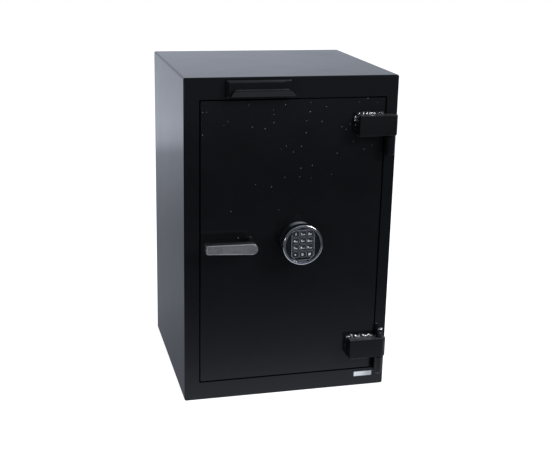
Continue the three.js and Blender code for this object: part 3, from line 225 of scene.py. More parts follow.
def group_tree(name: str, kind: str, inputs: Sequence[tuple[str, str, object]],
               outputs: Sequence[tuple[str, str]]) -> tuple[Tree, bpy.types.Node, bpy.types.Node]:
    """Starts a node group with named sockets.

    Args:
        name: the group's name.
        kind: the tree type.
        inputs: name, socket type and default of each input.
        outputs: name and socket type of each output.

    Returns:
        The wrapped tree, its input node and its output node.
    """
    tree = bpy.data.node_groups.new(name, kind)
    for label, socket, default in inputs:
        made = tree.interface.new_socket(label, in_out="INPUT", socket_type=socket)
        if default is not None:
            made.default_value = default
    for label, socket in outputs:
        tree.interface.new_socket(label, in_out="OUTPUT", socket_type=socket)
    wrapped = Tree(tree)
    return wrapped, wrapped.node("NodeGroupInput"), wrapped.node("NodeGroupOutput")


FLOAT = "NodeSocketFloat"
VECTOR = "NodeSocketVector"


class Effects:
    """Shader groups that several finishes share."""

    broad_ripple_share: float = 0.18
    speck_patch_scale: float = 9.0
    speck_patch_range: Pair = (0.38, 0.62)
    speck_shares: Pair = (0.02, 0.72)
    grain_weight: float = 0.6
    smudge_weight: float = 0.62
    smudge_range: Pair = (0.42, 0.68)
    # Dust on faces that look up, which doubles as a painted sheen of light from above.
    dust_and_sheen_facing_range: Pair = (0.82, 0.99)
    dust_and_sheen_patch_scale: float = 60.0
    dust_and_sheen_patch_range: Pair = (0.3, 0.7)
    dust_and_sheen_patch_shares: Pair = (0.6, 1.0)
    worn_broad_scale: float = 190.0
    worn_fine_scale: float = 520.0
    worn_broad_share: float = 0.65
    worn_limits: Pair = (0.68, 0.32)

    def __init__(self) -> None:
        """Builds every group once."""
        self.peel = self._peel()
        self.specks = self._specks()
        self.grain = self._grain()
        self.smudge = self._smudge()
        self.wear = self._wear()
        self.dust_and_sheen = self._dust_and_sheen()

    @staticmethod
    def _noise(tree: Tree, place: object, scale: object, detail: float,
               roughness: float = 0.5) -> bpy.types.NodeSocket:
        """Adds a noise texture and returns its value.

        Args:
            tree: where it goes.
            place: the coordinate's socket.
            scale: a socket or number.
            detail: octaves.
            roughness: weight of the finer octaves.

        Returns:
            The noise's factor.
        """
        made = tree.node("ShaderNodeTexNoise")
        tree.link(place, made.inputs["Vector"])
        tree.feed(made.inputs["Scale"], scale)
        made.inputs["Detail"].default_value = detail
        made.inputs["Roughness"].default_value = roughness
        return made.outputs[0]

    def _peel(self) -> bpy.types.NodeTree:
        """Builds the fine ripple of sprayed paint.

        Returns:
            The group: a place and a scale in, a height out.
        """
        tree, given, out = group_tree(
            "paint_ripple", "ShaderNodeTree",
            [("Place", VECTOR, None), ("Scale", FLOAT, 300.0)], [("Height", FLOAT)])
        fine = self._noise(tree, given.outputs["Place"], given.outputs["Scale"], detail=2.0)
        broad_scale = tree.math("MULTIPLY", given.outputs["Scale"], self.broad_ripple_share)
        broad = self._noise(tree, given.outputs["Place"], broad_scale, detail=1.0)
        tree.link(tree.math("ADD", fine, broad), out.inputs["Height"])
        return tree.tree

    def _specks(self) -> bpy.types.NodeTree:
        """Builds pale dust specks that thin out below a height.

        Returns:
            The group: place, cell scale, speck size, clear height, full height and the front's
            place in, mask out.
        """
        tree, given, out = group_tree(
            "dust_specks", "ShaderNodeTree",
            [("Place", VECTOR, None), ("Scale", FLOAT, 125.0), ("Size", FLOAT, 0.074),
             ("Clear Height", FLOAT, 0.3), ("Full Height", FLOAT, 0.56),
             ("Front", FLOAT, -0.19)], [("Mask", FLOAT)])
        cells = tree.node("ShaderNodeTexVoronoi")
        tree.link(given.outputs["Place"], cells.inputs["Vector"])
        tree.link(given.outputs["Scale"], cells.inputs["Scale"])
        near = tree.math("LESS_THAN", cells.outputs["Distance"], given.outputs["Size"])
        split = tree.node("ShaderNodeSeparateColor")
        tree.link(cells.outputs["Color"], split.inputs[0])
        height = tree.node("ShaderNodeSeparateXYZ")
        tree.link(given.outputs["Place"], height.inputs[0])
        rise = tree.node("ShaderNodeMapRange")
        tree.link(height.outputs["Z"], rise.inputs["Value"])
        tree.link(given.outputs["Clear Height"], rise.inputs["From Min"])
        tree.link(given.outputs["Full Height"], rise.inputs["From Max"])
        patch = self._noise(tree, given.outputs["Place"], self.speck_patch_scale, detail=2.0)
        thick = tree.ranged(patch, *self.speck_patch_range, *self.speck_shares)
        share = tree.math("MULTIPLY", rise.outputs[0], thick)
        kept = tree.math("LESS_THAN", split.outputs[0], share)
        outside = tree.math("LESS_THAN", height.outputs["Y"], given.outputs["Front"])
        mask = tree.math("MULTIPLY", tree.math("MULTIPLY", near, kept), outside)
        tree.link(mask, out.inputs["Mask"])
        return tree.tree

    def _grain(self) -> bpy.types.NodeTree:
        """Builds a brushed grain: fine lines along one direction.

        Returns:
            The group: a stretched place and a scale in, a line value out.
        """
        tree, given, out = group_tree(
            "brushed_lines", "ShaderNodeTree",
            [("Place", VECTOR, None), ("Stretch", VECTOR, (1.0, 1.0, 1.0)),
             ("Scale", FLOAT, 900.0)], [("Lines", FLOAT)])
        scaled = tree.node("ShaderNodeVectorMath", operation="MULTIPLY")
        tree.link(given.outputs["Place"], scaled.inputs[0])
        tree.link(given.outputs["Stretch"], scaled.inputs[1])
        lines = self._noise(tree, scaled.outputs[0], given.outputs["Scale"], detail=3.0,
                            roughness=self.grain_weight)
        tree.link(lines, out.inputs["Lines"])
        return tree.tree

    def _smudge(self) -> bpy.types.NodeTree:
        """Builds broad handling marks.

        Returns:
            The group: a place and a scale in, a mask out.
        """
        tree, given, out = group_tree(
            "handling_marks", "ShaderNodeTree",
            [("Place", VECTOR, None), ("Scale", FLOAT, 14.0)], [("Mask", FLOAT)])
        broad = self._noise(tree, given.outputs["Place"], given.outputs["Scale"], detail=5.0,
                            roughness=self.smudge_weight)
        tree.link(tree.ranged(broad, *self.smudge_range, 0.0, 1.0), out.inputs["Mask"])
        return tree.tree

    def _dust_and_sheen(self) -> bpy.types.NodeTree:
        """Builds the mask of faces which look up: settled dust, and a painted sheen of light from
        above on their tops.

        Returns:
            The group: a place, the way the face looks and an amount in, mask out.
        """
        tree, given, out = group_tree(
            "dust_and_top_sheen", "ShaderNodeTree",
            [("Place", VECTOR, None), ("Facing", VECTOR, None), ("Amount", FLOAT, 0.2)],
            [("Mask", FLOAT)])
        facing = tree.node("ShaderNodeSeparateXYZ")
        tree.link(given.outputs["Facing"], facing.inputs[0])
        up = tree.ranged(facing.outputs["Z"], *self.dust_and_sheen_facing_range, 0.0, 1.0)
        drift = self._noise(tree, given.outputs["Place"], self.dust_and_sheen_patch_scale, detail=3.0)
        patch = tree.ranged(drift, *self.dust_and_sheen_patch_range, *self.dust_and_sheen_patch_shares)
        amount = tree.math("MULTIPLY", up, given.outputs["Amount"])
        tree.link(tree.math("MULTIPLY", amount, patch), out.inputs["Mask"])
        return tree.tree

    def _wear(self) -> bpy.types.NodeTree:
        """Builds where paint is missing: uneven patches, and all that is above a height.

        Returns:
            The group: a place, the share of bare patches and a height in, mask out.
        """
        tree, given, out = group_tree(
            "worn_paint", "ShaderNodeTree",
            [("Place", VECTOR, None), ("Share", FLOAT, 0.3), ("Above", FLOAT, 10.0)],
            [("Mask", FLOAT)])
        broad = self._noise(tree, given.outputs["Place"], self.worn_broad_scale, detail=2.0)
        fine = self._noise(tree, given.outputs["Place"], self.worn_fine_scale, detail=1.0)
        spread = tree.math("ADD", tree.math("MULTIPLY", broad, self.worn_broad_share),
                           tree.math("MULTIPLY", fine, 1.0 - self.worn_broad_share))
        limit = tree.ranged(given.outputs["Share"], 0.0, 1.0, *self.worn_limits)
        patches = tree.math("GREATER_THAN", spread, limit)
        height = tree.node("ShaderNodeSeparateXYZ")
        tree.link(given.outputs["Place"], height.inputs[0])
        top = tree.math("GREATER_THAN", height.outputs["Z"], given.outputs["Above"])
        tree.link(tree.math("MAXIMUM", patches, top), out.inputs["Mask"])
        return tree.tree


@dataclass(frozen=True)
class Finish:
    """A finish: its colour and gloss, and how strongly each shared effect shows on it."""

    name: str
    colour: Colour
    roughness: float
    metallic: float = 0.0
    ior: float = 1.5
    ripple: float = 0.0
    ripple_scale: float = 300.0
    grain: float = 0.0
    grain_along: Along = Along.X
    grain_scale: float = 900.0
    smudge: float = 0.0
    specks: float = 0.0
    colour_drift: float = 0.12
    bare: Colour | None = None
    bare_share: float = 0.0
    bare_above: float = 10.0
    # Amount of dust on faces that look up; it also paints a lighter sheen there that stands for
    # light from above.
    dust: float = 0.0
    # Depth past which the colour is darkened: painted shade, not a real change of colour.
    painted_shade_behind: float | None = None

    def build(self, effects: Effects) -> bpy.types.Material:
        """Makes the material.

        Args:
            effects: the shared shader groups.

        Returns:
            The finished material.
        """
        surface = Surface(self, effects)
        if self.specks:
            surface.speckle()
        if self.ripple:
            surface.ripple()
        if self.grain:
            surface.brush()
        if self.dust:
            surface.settle_dust_and_sheen()
        if self.bare:
            surface.wear()
        if self.painted_shade_behind is not None:
            surface.paint_shade_behind()
        return surface.close()


class Surface:
    """A material as it is built: its nodes, and its colour, roughness and relief so far."""

    mark_scale: float = 11.0
    speck_colour: Rgba = (0.72, 0.73, 0.74, 1.0)
    speck_roughness: float = 0.4
    grain_stretch: float = 0.02
    grain_range: Pair = (0.3, 0.7)
    grain_roughness: Pair = (-0.06, 0.1)
    grain_dark_range: Pair = (0.35, 0.65)
    grain_dark_share: float = 0.5
    grain_colour_share: float = 0.82
    # Colour and roughness of the settled dust, which also serves as a painted sheen on tops.
    dust_and_sheen_colour: Rgba = (0.42, 0.43, 0.45, 1.0)
    dust_and_sheen_roughness: float = 1.2
    # Colour, fade and share of the painted shade laid on the deeper parts of a finish.
    painted_shade_colour: Rgba = (0.010, 0.012, 0.015, 1.0)
    painted_shade_fade: float = 0.002
    painted_shade_share: float = 0.85

    def __init__(self, finish: Finish, effects: Effects) -> None:
        """Starts a material with its finish's colour, drifting under handling marks.

        Args:
            finish: what it looks like.
            effects: the shared shader groups.
        """
        self.finish = finish
        self.effects = effects
        self.material = bpy.data.materials.new(finish.name)
        self.material.use_nodes = True
        self.tree = Tree(self.material.node_tree)
        nodes = self.tree.tree.nodes
        self.shader = next(n for n in nodes if n.type == "BSDF_PRINCIPLED")
        self.shader.inputs["Metallic"].default_value = finish.metallic
        self.shader.inputs["IOR"].default_value = finish.ior
        self.place = self.tree.node("ShaderNodeTexCoord").outputs["Object"]
        marks = self._effect(effects.smudge, Scale=self.mark_scale).outputs["Mask"]
        drift = tuple(min(1.0, c * (1 + finish.colour_drift)) for c in finish.colour)
        self.colour = self.tree.mix(marks, (*finish.colour, 1.0), (*drift, 1.0))
        self.rough = self.tree.ranged(marks, 0.0, 1.0, finish.roughness,
                                      finish.roughness + finish.smudge)
        self.height: bpy.types.NodeSocket | None = None
        self.relief = 0.0

    def _effect(self, group: bpy.types.NodeTree, **values: object) -> bpy.types.Node:
        """Places a shared group on this material.

        Args:
            group: the group's tree.
            values: input values by name.

        Returns:
            The group node.
        """
        made = self.tree.node("ShaderNodeGroup", node_tree=group)
        self.tree.link(self.place, made.inputs["Place"])
        for key, value in values.items():
            made.inputs[key].default_value = value
        return made

    def _cover(self, mask: bpy.types.NodeSocket, strength: float, colour: Rgba,
               roughness: float) -> None:
        """Lays a colour over the material and roughens it there.

        Args:
            mask: where it lies.
            strength: how much of the colour shows at most.
            colour: its RGBA colour.
            roughness: how much rougher it is.
        """
        shown = self.tree.math("MULTIPLY", mask, strength)
        self.colour = self.tree.mix(shown, self.colour, colour)
        self._roughen(self.tree.math("MULTIPLY", mask, roughness))

    def _roughen(self, amount: bpy.types.NodeSocket) -> None:
        """Adds to the roughness."""
        self.rough = self.tree.math("ADD", self.rough, amount)

    def speckle(self) -> None:
        """Scatters dust specks."""
        mask = self._effect(self.effects.specks).outputs["Mask"]
        self._cover(mask, self.finish.specks, self.speck_colour, self.speck_roughness)

    def ripple(self) -> None:
        """Raises the ripple of sprayed paint, or the texture of a moulding."""
        ripple = self._effect(self.effects.peel, Scale=self.finish.ripple_scale)
        self.height = ripple.outputs["Height"]
        self.relief = self.finish.ripple

    def brush(self) -> None:
        """Draws the brushed lines of worked metal."""
        stretch = [1.0, 1.0, 1.0]
        stretch[self.finish.grain_along.value] = self.grain_stretch
        grain = self._effect(self.effects.grain, Stretch=stretch, Scale=self.finish.grain_scale)
        lines = grain.outputs["Lines"]
        self._roughen(self.tree.ranged(lines, *self.grain_range, *self.grain_roughness))
        darker = tuple(c * self.grain_colour_share for c in self.finish.colour)
        shade = self.tree.ranged(lines, *self.grain_dark_range, 0.0, self.grain_dark_share)
        self.colour = self.tree.mix(shade, self.colour, (*darker, 1.0))
        self.height = lines
        self.relief = self.finish.grain

    def settle_dust_and_sheen(self) -> None:
        """Lays dust, and a painted sheen of light from above, on what looks up."""
        dust_and_sheen = self._effect(self.effects.dust_and_sheen, Amount=self.finish.dust)
        self.tree.link(self.tree.node("ShaderNodeTexCoord").outputs["Normal"],
                       dust_and_sheen.inputs["Facing"])
        self._cover(dust_and_sheen.outputs["Mask"], 1.0, self.dust_and_sheen_colour, self.dust_and_sheen_roughness)

    def wear(self) -> None:
        """Bares the metal where paint is missing."""
        worn = self._effect(self.effects.wear, Share=self.finish.bare_share,
                            Above=self.finish.bare_above)
        mask = worn.outputs["Mask"]
        self.colour = self.tree.mix(mask, self.colour, (*self.finish.bare, 1.0))
        self.tree.link(mask, self.shader.inputs["Metallic"])

    def paint_shade_behind(self) -> None:
        """Paints shade on what lies deeper than the finish says, as on the lever's neck back
        towards the door.
        """
        behind = self.finish.painted_shade_behind
        split = self.tree.node("ShaderNodeSeparateXYZ")
        self.tree.link(self.place, split.inputs[0])
        root = self.tree.ranged(split.outputs["Y"], behind, behind + self.painted_shade_fade, 0.0,
                                self.painted_shade_share)
        self.colour = self.tree.mix(root, self.colour, self.painted_shade_colour)

    def close(self) -> bpy.types.Material:
        """Links colour, roughness and relief to the shader.

        Returns:
            The finished material.
        """
        self.tree.link(self.colour, self.shader.inputs["Base Color"])
        self.tree.link(self.rough, self.shader.inputs["Roughness"])
        if self.height is not None:
            bump = self.tree.node("ShaderNodeBump")
            bump.inputs["Strength"].default_value = 1.0
            bump.inputs["Distance"].default_value = self.relief
            self.tree.link(self.height, bump.inputs["Height"])
            self.tree.link(bump.outputs[0], self.shader.inputs["Normal"])
        return self.material


GLOSS = Finish("black_gloss_paint", (0.0056, 0.0062, 0.0072), 0.11, ior=1.27, ripple=0.00003,
               ripple_scale=260.0, smudge=0.05)
WELD = Finish("painted_weld_bead", (0.007, 0.0075, 0.0085), 0.16, ior=1.28, ripple=0.0011,
              ripple_scale=330.0, smudge=0.1, bare=(0.95, 0.96, 0.97), bare_share=0.47)
FINISHES = {
    "black_paint": GLOSS,
    "door_paint": replace(GLOSS, name="black_gloss_paint_dusty", specks=0.5),
    "drawer_paint": replace(GLOSS, name="black_satin_paint", roughness=0.28),
    # The ledge paints below lay dust that also paints a lighter sheen on tops, standing for light
    # from above.
    "ledge_paint": replace(GLOSS, name="black_gloss_paint_on_ledges",
                           colour=(0.0052, 0.0057, 0.0068), ior=1.25, dust=0.17),
    "clean_ledge_paint": replace(GLOSS, name="black_gloss_paint_wiped_ledges",
                                 colour=(0.0062, 0.0068, 0.0078), ior=1.29, dust=0.10),
    "pin_paint": replace(GLOSS, name="black_gloss_paint_worn_top", smudge=0.0,
                         bare=(0.92, 0.93, 0.95), bare_above=0.1292),
    "weld_bead": WELD,
    "side_weld": replace(WELD, name="painted_weld_bead_at_side", ripple=0.0005,
                         bare_share=0.24),
    # The cup's dust also paints the lit top of its flank: a painted sheen.
    "cup_metal": Finish("dark_cast_cup", (0.020, 0.023, 0.028), 0.42, metallic=0.3, dust=0.85,
                        ripple=0.00003, ripple_scale=900.0, smudge=0.08),
    "grey_paint": Finish("grey_primer", (0.040, 0.042, 0.046), 0.5, ripple=0.00003,
                         ripple_scale=400.0, smudge=0.1),
    # The lever's neck, behind y = -0.2268, is darkened: painted shade.
    "satin_steel": Finish("satin_steel", (0.71, 0.695, 0.68), 0.26, metallic=1.0,
                          grain=0.000008, grain_along=Along.X, grain_scale=1400.0,
                          smudge=0.06, painted_shade_behind=-0.2268),
    "zinc_steel": Finish("zinc_plated_steel", (0.52, 0.53, 0.55), 0.36, metallic=1.0,
                         grain=0.00001, grain_along=Along.Z, grain_scale=700.0, smudge=0.12),
    "chrome": Finish("chrome_plate", (0.52, 0.53, 0.55), 0.10, metallic=1.0, smudge=0.03),
    "bronze": Finish("bearing_bronze", (0.52, 0.36, 0.16), 0.38, metallic=1.0, smudge=0.12),
    "cast_zinc": Finish("cast_zinc", (0.40, 0.41, 0.42), 0.52, metallic=1.0, ripple=0.00006,
                        ripple_scale=700.0, smudge=0.12),
    "face_plastic": Finish("keypad_face_plastic", (0.006, 0.0075, 0.0095), 0.26, ior=1.34,
                           ripple=0.00002, ripple_scale=1500.0, smudge=0.1),
    "key_rubber": Finish("key_rubber", (0.016, 0.019, 0.023), 0.42, ior=1.4, ripple=0.00002,
                         ripple_scale=2200.0, smudge=0.1),
    "legend_ink": Finish("legend_ink", (0.84, 0.86, 0.90), 0.45),
    "pale_line": Finish("pale_moulded_line", (0.30, 0.32, 0.34), 0.35),
    "rim_line": Finish("moulded_key_rim", (0.21, 0.22, 0.24), 0.35),
    "tab_metal": Finish("tab_metal", (0.30, 0.31, 0.33), 0.3, metallic=1.0),
    "circuit_board": Finish("circuit_board", (0.012, 0.075, 0.03), 0.4, ripple=0.00003,
                            ripple_scale=600.0),
    "battery_case": Finish("battery_case", (0.13, 0.14, 0.16), 0.35, smudge=0.1),
    "cable_sheath": Finish("cable_sheath", (0.012, 0.012, 0.013), 0.5, ripple=0.00003,
                           ripple_scale=800.0),
    "label_card": Finish("label_card", (0.88, 0.91, 0.93), 0.45, colour_drift=0.04,
                         ripple=0.00001, ripple_scale=900.0),
}


class Palette:
    """The materials of the safe, each made once."""

    def __init__(self) -> None:
        """Builds the shared effects and every finish."""
        effects = Effects()
        self._made = {name: finish.build(effects) for name, finish in FINISHES.items()}

    def __getitem__(self, name: str) -> bpy.types.Material:
        """Gives a finish by its name."""
        return self._made[name]


# Meshes


# Shared by every piece: gaps under which points merge, in metres, the angles up to which
# faces count as one plane and past which an edge is rounded, and how far broad faces lead.
MERGE_GAP = 2e-6
TURNED_GAP = 1e-7
FLAT_DEGREES = 0.4
SHARP_DEGREES = 32
NORMAL_WEIGHT = 50


class Workshop:
    """Makes pieces out of meshes, dresses carried-over nodes and reports each one."""

    def __init__(self, frame: dict, palette: Palette) -> None:
        """Keeps what every maker needs.

        Args:
            frame: the loaded frame.
            palette: the finishes.
        """
        self.frame = frame
        self.palette = palette

    def piece(self, name: str, mesh: bpy.types.Mesh, finish: str, body: str, slot: str,
              replaces: Sequence[str] = (), shade: Shade = Shade.SMOOTH) -> bpy.types.Object:
        """Makes a mesh into a piece of the safe.

        Args:
            name: the piece's name.
            mesh: its finished mesh, in place.
            finish: the palette entry for its surface.
            body: the body it moves with.
            slot: the record's material slot; not used.
            replaces: nodes that it stands for.
            shade: how it is shaded.

        Returns:
            The new object.
        """
        if shade is Shade.SMOOTH:
            mesh.polygons.foreach_set("use_smooth", [True] * len(mesh.polygons))
            mesh.set_sharp_from_angle(angle=math.radians(shade.value))
            mesh = modified(mesh, level_normals)
        made = bpy.data.objects.new(name, mesh)
        bpy.context.scene.collection.objects.link(made)
        mesh.name = name
        mesh.materials.clear()
        mesh.materials.append(self.palette[finish])
        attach(made, body)
        if replaces:
            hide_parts(*replaces)
        LOG.info("%s: %d faces on %s", name, len(mesh.polygons), body)
        return made

    def dress(self, node: str, finish: str) -> None:
        """Gives a carried-over node a better finish.

        Args:
            node: the node's name.
            finish: the palette entry.
        """
        materials = self.frame["nodes"][node].data.materials
        materials.clear()
        materials.append(self.palette[finish])
        LOG.info("%s: dressed in %s", node, finish)

    def soften(self, node: str, finish: str, body: str, slot: str, edge: float,
               segments: int = 3) -> bpy.types.Object:
        """Replaces a node by a copy of it with rounded edges and smooth curved faces.

        Args:
            node: the node's name.
            finish: the palette entry.
            body: the body it moves with.
            slot: the record's material slot.
            edge: radius of the rounded edges, in metres.
            segments: faces across each rounded edge.

        Returns:
            The new object.
        """
        shape = bmesh.new()
        shape.from_mesh(self.frame["nodes"][node].data)
        bmesh.ops.remove_doubles(shape, verts=shape.verts, dist=MERGE_GAP)
        bmesh.ops.dissolve_limit(shape, angle_limit=math.radians(FLAT_DEGREES),
                                 verts=shape.verts, edges=shape.edges)
        mesh = as_mesh(shape)
        rounded = modified(mesh, lambda carrier: round_edges(carrier, edge, segments))
        return self.piece(f"{node}_finished", rounded, finish, body, slot, (node,))


def as_mesh(shape: bmesh.types.BMesh) -> bpy.types.Mesh:
    """Turns a bmesh into a mesh and frees it.

    Args:
        shape: the bmesh.

    Returns:
        The mesh.
    """
    mesh = bpy.data.meshes.new("work")
    shape.to_mesh(mesh)
    shape.free()
    return mesh


def modified(mesh: bpy.types.Mesh,
             add: Callable[[bpy.types.Object], None]) -> bpy.types.Mesh:
    """Runs modifiers on a mesh and returns the plain result.

    Args:
        mesh: the mesh to start from.
        add: adds the modifiers to the carrier object.

    Returns:
        The evaluated mesh, with no modifier left.
    """
    carrier = bpy.data.objects.new("carrier", mesh)
    bpy.context.scene.collection.objects.link(carrier)
    add(carrier)
    bpy.context.view_layer.update()
    shown = carrier.evaluated_get(bpy.context.evaluated_depsgraph_get())
    result = bpy.data.meshes.new_from_object(shown)
    bpy.data.objects.remove(carrier)
    return result


def round_edges(carrier: bpy.types.Object, edge: float, segments: int) -> None:
    """Adds a bevel to the sharp edges of an object.

    Args:
        carrier: the object.
        edge: the bevel's width.
        segments: faces across it.
    """
    bevel = carrier.modifiers.new("rounded", "BEVEL")
    bevel.width = edge
    bevel.segments = segments
    bevel.limit_method = "ANGLE"
    bevel.angle_limit = math.radians(SHARP_DEGREES)
    bevel.use_clamp_overlap = True


def level_normals(carrier: bpy.types.Object) -> None:
    """Weights an object's normals by face area, so that broad faces shade flat.

    Args:
        carrier: the object, with its sharp edges marked.
    """
    weighted = carrier.modifiers.new("level", "WEIGHTED_NORMAL")
    weighted.mode = "FACE_AREA"
    weighted.weight = NORMAL_WEIGHT
    weighted.keep_sharp = True


def cut_with(carrier: bpy.types.Object, tools: Iterable[bpy.types.Object]) -> None:
    """Adds a boolean cut for each tool.

    Args:
        carrier: the object that is cut.
        tools: the objects that cut it.
    """
    for tool in tools:
        cut = carrier.modifiers.new("cut", "BOOLEAN")
        cut.operation = "DIFFERENCE"
        cut.solver = "EXACT"
        cut.object = tool


def rounded_outline(left: float, right: float, bottom: float, top: float, radius: float,
                    steps: int = 6) -> list[Pair]:
    """Gives the corners of a rounded rectangle, anticlockwise.

    Args:
        left: lowest across.
        right: highest across.
        bottom: lowest up.
        top: highest up.
        radius: corner radius.
        steps: faces round each corner.

    Returns:
        The outline's points.
    """
    points = []
    centres = [(right - radius, bottom + radius, -90), (right - radius, top - radius, 0),
               (left + radius, top - radius, 90), (left + radius, bottom + radius, 180)]
    for across, up, start in centres:
        for step in range(steps + 1):
            angle = math.radians(start + 90 * step / steps)
            points.append((across + radius * math.cos(angle), up + radius * math.sin(angle)))
    return points


def skin_rows(shape: bmesh.types.BMesh, rows: Sequence[Sequence[bmesh.types.BMVert]]) -> None:
    """Joins each closed row of points to the next.

    Args:
        shape: the bmesh that holds the points.
        rows: closed rows with the same number of points.
    """
    count = len(rows[0])
    for here, there in zip(rows, rows[1:]):
        for k in range(count):
            after = (k + 1) % count
            shape.faces.new((here[k], here[after], there[after], there[k]))


def skin_band(shape: bmesh.types.BMesh, rows: Sequence[Sequence[bmesh.types.BMVert]]) -> None:
    """Joins closed rows of points into a closed band, the last row to the first."""
    skin_rows(shape, [*rows, rows[0]])


def loft(rings: Sequence[Sequence[Point]]) -> bmesh.types.BMesh:
    """Joins rings of points into a closed solid.

    Args:
        rings: the same number of points in each.

    Returns:
        The solid, with its faces pointing out.
    """
    shape = bmesh.new()
    rows = [[shape.verts.new(p) for p in ring] for ring in rings]
    skin_rows(shape, rows)
    shape.faces.new(rows[0][::-1])
    shape.faces.new(rows[-1])
    bmesh.ops.recalc_face_normals(shape, faces=shape.faces)
    return shape


def slab(outline: Profile, front: float, back: float,
         edge: float = 0.0, edge_steps: int = 3) -> bmesh.types.BMesh:
    """Makes a plate standing across Y, with a rounded front edge.

    Args:
        outline: its points as x and z.
        front: lowest y.
        back: highest y.
        edge: radius of the front edge.
        edge_steps: faces across that edge.

    Returns:
        The plate.
    """
    middle_x = sum(p[0] for p in outline) / len(outline)
    middle_z = sum(p[1] for p in outline) / len(outline)
    half_x = max(p[0] for p in outline) - middle_x
    half_z = max(p[1] for p in outline) - middle_z

    def ring(y: float, inset: float) -> list[Point]:
        """Gives the outline at a depth, drawn in towards its middle."""
        shrink_x = 1 - inset / half_x
        shrink_z = 1 - inset / half_z
        return [(middle_x + (x - middle_x) * shrink_x, y, middle_z + (z - middle_z) * shrink_z)
                for x, z in outline]

    rings = [ring(back, 0.0)]
    if edge:
        for step in range(edge_steps + 1):
            angle = math.radians(90 * step / edge_steps)
            rings.append(ring(front + edge - edge * math.sin(angle),
                              edge - edge * math.cos(angle)))
    else:
        rings.append(ring(front, 0.0))
    return loft(rings)


def turned(profile: Profile, centre: Point, sides: int = 96) -> bmesh.types.BMesh:
    """Turns a closed profile of radius and distance out of the door about an axis along Y.

    Args:
        profile: radius and distance towards -Y of each point, closed on itself.
        centre: a point on the axis, at distance 0.
        sides: faces round the axis.

    Returns:
        The turned solid.
    """
    shape = bmesh.new()
    rows = []
    for side in range(sides):
        angle = 2 * math.pi * side / sides
        rows.append([shape.verts.new((centre[0] + r * math.cos(angle), centre[1] - out,
                                      centre[2] + r * math.sin(angle))) for r, out in profile])
    skin_band(shape, rows)
    bmesh.ops.remove_doubles(shape, verts=shape.verts, dist=TURNED_GAP)
    bmesh.ops.dissolve_degenerate(shape, edges=shape.edges, dist=TURNED_GAP)
    bmesh.ops.recalc_face_normals(shape, faces=shape.faces)
    return shape


def arc(centre_r: float, centre_out: float, radius: float, start: float, end: float,
        steps: int = 5) -> list[Pair]:
    """Gives points of an arc in a turned profile.

    Args:
        centre_r: radius of the arc's centre.
        centre_out: distance out of the arc's centre.
        radius: the arc's own radius.
        start: first angle in degrees, from the direction away from the axis.
        end: last angle.
        steps: faces along the arc.

    Returns:
        The points.
    """
    points = []
    for step in range(steps + 1):
        angle = math.radians(start + (end - start) * step / steps)
        points.append((centre_r + radius * math.cos(angle),
                       centre_out + radius * math.sin(angle)))
    return points


def prism(left: float, right: float, front: float, back: float, bottom: float,
          top: float) -> bmesh.types.BMesh:
    """Makes a plain block."""
    return slab([(left, bottom), (right, bottom), (right, top), (left, top)], front, back)


def upright_cylinder(centre: Pair, radius: float, bottom: float,
                     top: float, sides: int = 40) -> bmesh.types.BMesh:
    """Makes a cylinder along Z.

    Args:
        centre: x and y of its axis.
        radius: its radius.
        bottom: lowest z.
        top: highest z.
        sides: faces round it.

    Returns:
        The cylinder.
    """
    ring = [(centre[0] + radius * math.cos(2 * math.pi * i / sides),
             centre[1] + radius * math.sin(2 * math.pi * i / sides)) for i in range(sides)]
    return loft([[(x, y, z) for x, y in ring] for z in (bottom, top)])


# Geometry node trees for what repeats


